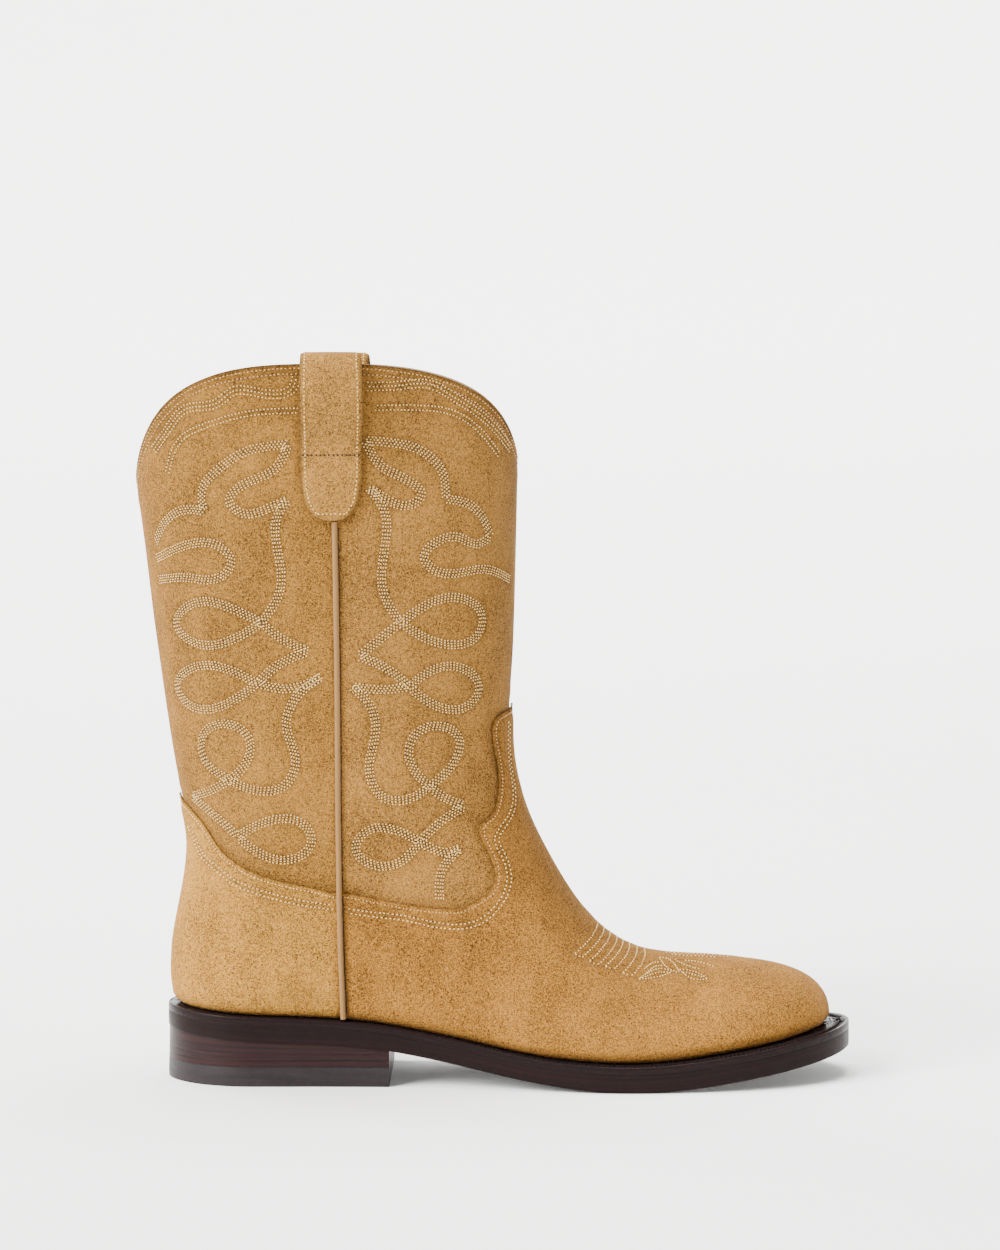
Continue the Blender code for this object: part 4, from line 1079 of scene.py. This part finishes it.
def make_pull_strap(name, side, stuff, threads):
    """Doubled suede strap: sewn flat outside, standing off, and turned in over the rim."""
    p, n, half = strap_path(190)
    r = STRAP_T / 2

    def at(i, a, lift):
        """(points, normals) at station i, a along the boot from the strap's middle."""
        h, z = p[i, 0] + n[i, 0] * lift, p[i, 1] + n[i, 1] * lift
        q = flank(STRAP_X + a, z, side, h)[0]
        h, z = h + n[i, 0], z + n[i, 1]
        return q, unit(flank(STRAP_X + a, z, side, h)[0] - q)
    rings = []
    for i, w in enumerate(half):
        share = np.linspace(-1, 1, 17)
        soft = min(0.9, w * 0.4)
        fall = np.clip((np.abs(share) * w - (w - soft)) / soft, 0, 1)
        lift = r - (1 - np.sqrt(1 - fall**2)) * 0.75 + 0.12 * np.cos(share * math.pi / 2)
        rings.append(np.concatenate([at(i, share * w * way, lift * way)[0] for way in (1, -1)]))
    # painted shade along the strap's edges, for the shade in the gap between strap and shaft
    edge = np.interp(np.abs(np.tile(share, 2)), (0.86, 0.94, 1.0), (1.0, 0.8, 0.4))
    made = loft(name, rings, stuff, 50, floats={"shade": np.tile(edge, len(p))})
    low = int(np.argmax(p[:, 1] > STRAP_TIP_ROW))
    out = np.arange(low, len(p) - 4)
    inner = np.maximum(half[out] - STRAP_ROW, 0.2)
    lines = [at(out, way * inner, r + 0.08) for way in (-1, 1)]
    tip = np.linspace(-inner[0], inner[0], 12)
    lines.append(at(low + np.zeros(12, int), tip, r + 0.08))
    sewn(name.replace("pull_strap_skin", "stitch_strap"), [respaced(line) for line in lines],
         threads, sink=0.16)
    bar = int(np.argmax(p[:, 1] > BAR_Z))
    line = at(bar + np.zeros(40, int), np.linspace(-BAR_HALF, BAR_HALF, 40), r + 0.1)
    sewn(name.replace("pull_strap_skin", "stitch_bar"), [respaced(line)], threads[1:] * 2,
         radius=0.42, sink=0.1)
    return made


def respaced(line):
    """A course along a coarse line of points and normals."""
    s = lengths(line[0])
    at = np.linspace(0, s[-1], max(8, int(s[-1] / 0.35)))
    q, n = (read_at(at, s, part) for part in line)
    return course(q, unit(n), pitch=1.7)


# heights of the piping's rings: up the foot, across the cover's edge, and up the shaft
PIPING_Z = np.concatenate([np.linspace(27.6, 79, 60), np.linspace(79.6, 89, 24),
                           np.linspace(90, 230.2, 150)])
PIPING_BASE, PIPING_STEP = 3.3, 1.7  # its seat on the foot, and how much lower on the shaft
PIPING_HALF, PIPING_RISE, PIPING_DEEP = 1.15, 1.65, 1.3


def make_side_piping(name, side, stuff):
    """A rounded bead over the side seam, stepping down where it leaves the cover's edge."""
    base = PIPING_BASE - PIPING_STEP * smooth((PIPING_Z - 80) / 8)
    a = np.radians(np.linspace(0, 180, 11))
    rise = np.where(np.sin(a) > 0.01, PIPING_RISE * np.sin(a)**0.8, -PIPING_DEEP)
    rings = [flank(SEAM_X(z) + PIPING_HALF * np.cos(a), z + 0 * a, side, b + rise)[0]
             for z, b in zip(PIPING_Z, base)]
    return loft(name, rings, stuff, 50)


def steady(value):
    """A height or an outset that is the same all along the boot."""
    return lambda x: 0 * x + value


def above(lift):
    return lambda x: FEATHER(x) + lift


def lip_at(x):
    return LIP(np.clip(x, -131, 136))


def welt_edge(x):
    return OUTER[1] + lip_at(x)


def angles(x_high=None, count=420):
    table = np.linspace(0, math.pi, 2000)
    last = math.pi if x_high is None else float(np.interp(x_high, plan_x(table), table))
    return np.linspace(0, last, count)


NOTCH, NOTCH_PITCH = 0.42, 1.9  # depth of the wheel's notches, and from one to the next


def make_welt(stuff):
    """The strip sewn round the feather edge: crowned rim, wheeled notches, a channel for thread."""
    count = 3000
    theta = np.linspace(0, 2 * math.pi, count, endpoint=False)
    x = plan_x(theta)
    lip = lip_at(x)
    s = lengths(plan(np.append(theta, 2 * math.pi), 0 * theta[:1] + 5.0))[:-1]
    teeth = 0.5 - 0.5 * np.cos(2 * math.pi * s / NOTCH_PITCH)
    wide = smooth((lip - 3.0) / 1.5)
    # share of the lip, change, height, how much the notches cut there, streak position
    section = [(None, 0, -WELT_T + 0.03, 0, 0), (1, -0.05, -WELT_T + 0.03, 0, 0),
               (1, 0.0, -2.9, 0, 0.1), (1, 0.05, -1.7, 0, 1.3), (1, 0.0, -0.6, 0, 2.4),
               (1, -0.12, -0.2, 0, 2.8), (1, -0.35, -0.02, 0, 3.0), (1, -0.8, 0.0, 0, 3.1),
               (0.80, 0, -0.08, 0.3, 3.1), (0.66, 0, -0.2, 1, 3.1), (0.48, 0, -0.2, 1, 3.1),
               (0.34, 0, -0.1, 0.5, 3.1), (0.2, 0, 0.05, 0, 3.1), (None, 0, 0.0, 0, 3.1)]
    rings = []
    for share, change, z, cut, mark in section:
        e = -7.0 + 0 * x if share is None else OUTER[1] + lip * share + change
        p = plan(theta, e)
        rings.append(np.column_stack([p, FEATHER(p[:, 0]) + z - NOTCH * cut * wide * teeth]))
    k = len(section)
    points = np.stack(rings, 1)
    marks = [grain(points[:, i], np.full(count, 20 + mark)) for i, (*_, mark) in enumerate(section)]
    faces = []
    for i in range(count):
        a, b = k * i, k * ((i + 1) % count)
        faces += [(a + j, b + j, b + (j + 1) % k, a + (j + 1) % k) for j in range(k)]
    return solid("welt_strip", points.reshape(-1, 3), faces, stuff, 40,
                 vectors={"grain": np.stack(marks, 1)})


def sew_welt(threads):
    theta = np.linspace(1.5, 2 * math.pi - 1.5, 1500)
    x = plan_x(theta)
    lip = lip_at(x)
    p = plan(theta, OUTER[1] + lip * 0.55)
    q = np.column_stack([p, FEATHER(p[:, 0]) - 0.05])
    n = np.tile((0.0, 0.0, 1.0), (len(q), 1))
    sewn("stitch_welt", [course(q, n, pitch=1.9, share=0.8)], threads, radius=0.36, sink=0.12,
         holes=False)


def edge_rings(e_low, e_high, z_low, z_high, marks, soft, crown):
    """Bottom-to-top rings of a slab whose edge is crowned and softened at both corners."""
    steps = [(0.0, -soft), (0.0, -soft * 0.3), (soft * 0.3, -0.02), (soft, 0.0)]
    rings = [(0.0, dz, de) for dz, de in steps]
    rings += [(f, 0.0, crown * math.sin(math.pi * f)) for f in np.linspace(0.15, 0.85, 7)]
    rings += [(1.0, -dz, de) for dz, de in reversed(steps)]
    made = []
    for f, dz, de in rings:
        def e(x, f=f, de=de):
            return e_low(x) * (1 - f) + e_high(x) * f + de

        def z(x, f=f, dz=dz):
            return z_low(x) * (1 - f) + z_high(x) * f + dz
        made.append((e, z, marks[0] + (marks[1] - marks[0]) * f))
    return made


HEEL_OUT, HEEL_SLOPE = 4.9, 0.02
# node, piece, heights at which its edge slope is read, its two levels, streaks, softness, crown
HEEL_LAYERS = [
    ("heel_lift_2", "heel_layer_2", (10.8, 13), (10.75, 13.25), (3.4, 5.8), 0.1, 0.04, "leather"),
    ("heel_lift_1", "heel_layer_1", (8.3, 10.5), (8.15, 10.7), (1, 3.3), 0.1, 0.04, "leather"),
    ("heel_top_lift", "heel_tread", (0, 8), (0.0, 8.05), (30, 33), 0.4, 0.08, "rubber"),
]


def heel_edge(z):
    """How far the heel stands out at height z: it narrows upwards."""
    return steady(HEEL_OUT - HEEL_SLOPE * z)


def make_sole(leathers):
    """Outsole, stacked heel and footbed."""
    sole, stack, lift_rubber, bed = leathers
    heel = angles(HEEL_BREAST, 240)

    def tread(x):
        return np.maximum(TREAD(x), 0)
    made = {
        "outsole": slab("sole_unit", angles(), edge_rings(
            welt_edge, welt_edge, tread, above(-WELT_T), (12, 18), 0.12, 0.05), sole),
        "heel_base": slab("heel_wedge", heel, edge_rings(
            heel_edge(13.3), heel_edge(20), steady(13.3), lambda x: TREAD(x) - 0.05, (6, 11),
            0.12, 0.05), stack, False),
    }
    for node, name, edges, heights, marks, soft, crown, stuff in HEEL_LAYERS:
        made[node] = slab(name, heel, edge_rings(
            *map(heel_edge, edges), *map(steady, heights), marks, soft, crown),
            lift_rubber if stuff == "rubber" else stack, False)
    made["footbed"] = slab("foot_cushion", angles(count=200), edge_rings(
        steady(-3.0), steady(-4.6), above(4.3), above(7.4), (0, 1), 0.5, 0.0), bed)
    return made


def edge_rows(vamp_edge, counter_edge):
    """Runs of the rows that hold the two covers' edges down, each from side to side."""
    front, back = aside(vamp_edge, -EDGE_ROW), aside(counter_edge, -EDGE_ROW)
    over = across(front[-1, 1], front[-1, 0], 2 * math.pi - front[-1, 0])
    vamp_top = np.concatenate([front, over[1:-1], mirror(front)])
    over = across(back[0, 1], back[0, 0], -back[0, 0])
    return vamp_top, np.concatenate([back[::-1], over[1:-1], back * (-1, 1)])


def laps_over_shaft(vamp_edge, counter_edge):
    """Tree of points on the shaft beside the edges of the covers and the straps, round which their
    shadow is painted on the shaft.
    """
    runs = np.concatenate([vamp_edge, mirror(vamp_edge), counter_edge, counter_edge * (-1, 1)])
    z = np.arange(231, 290, 0.8)
    beside = [flank(STRAP_X + way * STRAP_WIDTH(z), z, side, MIDDLE[1])[0]
              for way in (-1, 1) for side in (-1, 1)]
    return tree_of(np.concatenate([skin(runs[:, 0], runs[:, 1], MIDDLE[1])[0], *beside]))


def columns(span, step):
    """Angles of a lattice's columns, from degrees."""
    low, high, step = map(math.radians, (*span, step))
    return np.arange(low, high, step)


# degrees round the last that the front and the back pieces lie within
FRONT_SPAN, BACK_SPAN = (60, 300), (-105, 105)
# levels of the lattices' rows, closer where the sewing and the feather edge need it
SHAFT_ROWS = np.concatenate([np.arange(0.2, 0.56, 0.007), np.arange(0.56, 1.0, 0.0045)])
FOOT_ROWS = np.concatenate([[-0.07, -0.03, -0.0125, -0.006, 0.0, 0.003],
                            np.arange(0.008, 0.6, 0.0065)])
LINING_ROWS = np.arange(0.25, 1.0, 0.012)


def make_upper(looks):
    """The leathers of the shaft and the foot, the shaft's linings, and all their sewing."""
    vamp_ring, vamp_edge = vamp_outline()
    counter_ring, counter_edge = counter_outline()
    # hidden puts the near-black hole look on both slots, so the ditch stitches paint the seam's
    # shadow
    tan, hidden = [looks["tan_thread"], looks["hole"]], [looks["hole"]] * 2
    tree = tree_of(sew_pattern(
        [looks["thread"], looks["hole"]],
        {"stitch_vamp_edge": tan, "stitch_rim": tan, "ditch_stitch_painted_shadow": hidden},
        *edge_rows(vamp_edge, counter_edge)))
    shaft = relief(tree, laps=laps_over_shaft(vamp_edge, counter_edge))
    cover = relief(tree, 0.3)
    front, back = columns(FRONT_SPAN, 1.15), columns(BACK_SPAN, 1.15)
    return {
        "shaft_front": leather("shaft_front_skin", front_outline(FRONT_FROM, 1.0), MIDDLE, front,
                               SHAFT_ROWS, looks["front"], shaft, dim=RAW_EDGE),
        "shaft_back": leather("shaft_back_skin", back_outline(BACK_FROM, 1.0), MIDDLE, back,
                              SHAFT_ROWS, looks["back"], shaft, dim=RAW_EDGE),
        "vamp": leather("vamp_skin", vamp_ring, OUTER, columns(FRONT_SPAN, 0.72), FOOT_ROWS,
                        looks["vamp"], cover, True),
        "counter_cover": leather("counter_skin", counter_ring, OUTER, columns(BACK_SPAN, 0.9),
                                 FOOT_ROWS, looks["counter"], cover, True),
        "shaft_lining_front": leather("lining_front_skin", front_outline(BACK_FROM, 1.0), LINING,
                                      front[::3], LINING_ROWS, looks["lining"]),
        "shaft_lining_back": leather("lining_back_skin", back_outline(BACK_FROM, 1.0), LINING,
                                     back[::3], LINING_ROWS, looks["lining"]),
    }


# the room's flat floor: its middle, and how far it runs to the sides and to front and back
ROOM_Y, ROOM_WIDE, ROOM_DEEP = -3.0, 6.0, 4.3
ROOM_SIDES, COVE, WALL_TOP = 120, 1.0, 1.7
WORLD = 0.4
KEY, KEY_ANGLE, KEY_FROM = 10.0, math.radians(40), (-0.78, -0.52, 0.60)
# name, position, aim, diameter, watts
LAMPS = [("rim", (-1.4, 1.2, 1.5), (0, 0, 0.15), 0.9, 25),
         ("overhead", (0, 0.3, 2.2), (0, 0.1, 0), 1.6, 100)]
CAMERA_AT, CAMERA_TILT, LENS, SENSOR = (0.00225, -1.6, 0.2944), math.radians(86.117), 112.4, 36


def place(name, data, at=(0, 0, 0), turn=(0, 0, 0)):
    """An object of the studio."""
    made = bpy.data.objects.new(name, data)
    made.location, made.rotation_euler = at, turn
    bpy.context.scene.collection.objects.link(made)
    return made


def towards(way):
    """Turn of a lamp that shines against way."""
    return Vector(way).to_track_quat("Z", "Y").to_euler()


def make_room():
    """Pale floor curving up into a low wall all round."""
    bend = np.linspace(0.05, math.pi / 2, 24)
    curve = [(-0.3, 0.0), (-0.1, 0.0), (0.0, 0.0)] + [
        (COVE * math.sin(a), COVE * (1 - math.cos(a))) for a in bend] + [(COVE, WALL_TOP)]
    points = [(0.0, ROOM_Y, 0.0)]
    for out, z in curve:
        points += [((ROOM_WIDE + out) * math.cos(a), ROOM_Y + (ROOM_DEEP + out) * math.sin(a), z)
                   for a in np.linspace(0, 2 * math.pi, ROOM_SIDES, endpoint=False)]
    faces = [(0, 1 + k, 1 + (k + 1) % ROOM_SIDES) for k in range(ROOM_SIDES)]
    faces += [face[::-1] for face in between(len(curve), ROOM_SIDES, 1)]
    mesh = bpy.data.meshes.new("studio_floor")
    mesh.from_pydata(points, [], faces)
    look = Look("studio_paper", Roughness=0.9, Specular_IOR_Level=0.0,
                Emission_Color=(1, 1, 0.985, 1))
    height = look.node("SeparateXYZ", {0: look.place}).outputs["Z"]
    glow = look.ramp(height, 0.0, 0.3, 0.08, 0.85)
    look.put(look.shader.inputs["Emission Strength"], glow)
    paper = look.blend(look.noise(40, 2.0), (0.925, 0.925, 0.91), (0.935, 0.935, 0.92))
    mesh.materials.append(look.finish(paper))
    mesh.shade_smooth()
    place("studio_floor", mesh)


def make_studio():
    """The room, soft lights and the camera."""
    make_room()
    world = bpy.data.worlds.new("studio_world")
    world.use_nodes = True
    sky = world.node_tree.nodes["Background"].inputs
    sky["Color"].default_value, sky["Strength"].default_value = (1.0, 1.0, 0.995, 1), WORLD
    bpy.context.scene.world = world
    sun = bpy.data.lights.new("key", "SUN")
    sun.energy, sun.angle = KEY, KEY_ANGLE
    place("key", sun, turn=towards(KEY_FROM))
    for name, at, aim, size, power in LAMPS:
        lamp = bpy.data.lights.new(name, "AREA")
        lamp.shape, lamp.size, lamp.energy = "DISK", size, power
        place(name, lamp, at, towards(Vector(at) - Vector(aim)))
    camera = bpy.data.cameras.new("camera")
    camera.lens, camera.sensor_width = LENS, SENSOR
    bpy.context.scene.camera = place("camera", camera, CAMERA_AT, (CAMERA_TILT, 0, 0))


def make_looks():
    return {
        "front": suede("shaft_front_suede", (0.187, 0.088, 0.0185)),
        "back": suede("shaft_back_suede", (0.170, 0.079, 0.0150)),
        "vamp": suede("vamp_suede", (0.192, 0.085, 0.0152)),
        # the counter's suede is mixed lighter than the rest: partly painted light, for the key
        # light falling on the heel
        "counter": suede("counter_suede", (0.250, 0.118, 0.0208)),
        "lining": grained("lining_leather", (0.20, 0.125, 0.058), (0.28, 0.18, 0.09), 1100, 0.65),
        "thread": thread("cream_thread", (0.56, 0.32, 0.085), (1.0, 0.70, 0.25)),
        "tan_thread": thread("tan_thread", (0.36, 0.17, 0.05), (0.72, 0.42, 0.15)),
        "hole": pierced(),
    }


def dress_kept(lining):
    """Materials of the hidden CAD nodes, which keep their own shape."""
    stiff = fibrous("stiffener_fibre", (0.33, 0.28, 0.21), (0.46, 0.40, 0.31), 700, (1, 1, 0.3))
    brass = metal("nail_brass", (0.42, 0.31, 0.14), (0.62, 0.48, 0.24))
    kept = {
        "toe_stiffener": stiff, "heel_stiffener": stiff,
        "vamp_lining": lining, "counter_lining": lining,
        "insole_board": fibrous("board_fibre", (0.34, 0.28, 0.20), (0.50, 0.43, 0.33), 900),
        "cork_filler": fibrous("cork", (0.20, 0.11, 0.05), (0.50, 0.32, 0.17), 420, cells=True),
        "waist_filler": fibrous("felt", (0.24, 0.22, 0.20), (0.40, 0.38, 0.36), 1300),
        "shank": metal("shank_steel", (0.42, 0.43, 0.45), (0.6, 0.61, 0.63)),
        **{f"heel_nail_{i}": brass for i in range(1, 6)},
    }
    for node, stuff in kept.items():
        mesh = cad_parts[node].data
        mesh.materials.clear()
        mesh.materials.append(stuff)


def main():
    looks = make_looks()
    dark_thread = thread("dark_thread", (0.005, 0.0035, 0.0035), (0.014, 0.010, 0.010), 0.03, 0.0)
    pieces = make_upper(looks)
    strap = suede("strap_suede", (0.207, 0.101, 0.0220))
    piping = grained("piping_leather", (0.17, 0.086, 0.024), (0.23, 0.118, 0.035), 2200, 0.8,
                     0.0001)
    for side, word in ((-1, "outer"), (1, "inner")):
        pieces["side_piping_" + word] = make_side_piping("seam_bead_" + word, side, piping)
        pieces["pull_strap_" + word] = make_pull_strap("pull_strap_skin_" + word, side, strap,
                                                       [looks["thread"], looks["hole"]])
    dark, red = (0.0075, 0.0048, 0.0050), (0.030, 0.0085, 0.0075)
    sole = burnished("sole_leather", dark, (0.017, 0.0075, 0.0072), 0.35, 0.34, 0.04)
    stack = burnished("heel_leather", (0.0078, 0.0055, 0.0058), red, 0.45, 0.34, 0.10)
    rim = burnished("welt_leather", dark, (0.015, 0.0072, 0.007), 0.3, 0.26, 0.05)
    bed = grained("footbed_leather", (0.22, 0.13, 0.06), (0.30, 0.19, 0.09), 800, 0.6)
    pieces["welt"] = make_welt(rim)
    sew_welt([dark_thread])
    pieces.update(make_sole((sole, stack, rubber(), bed)))
    for node, piece in pieces.items():
        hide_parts(node)
    dress_kept(looks["lining"])
    make_studio()


main()
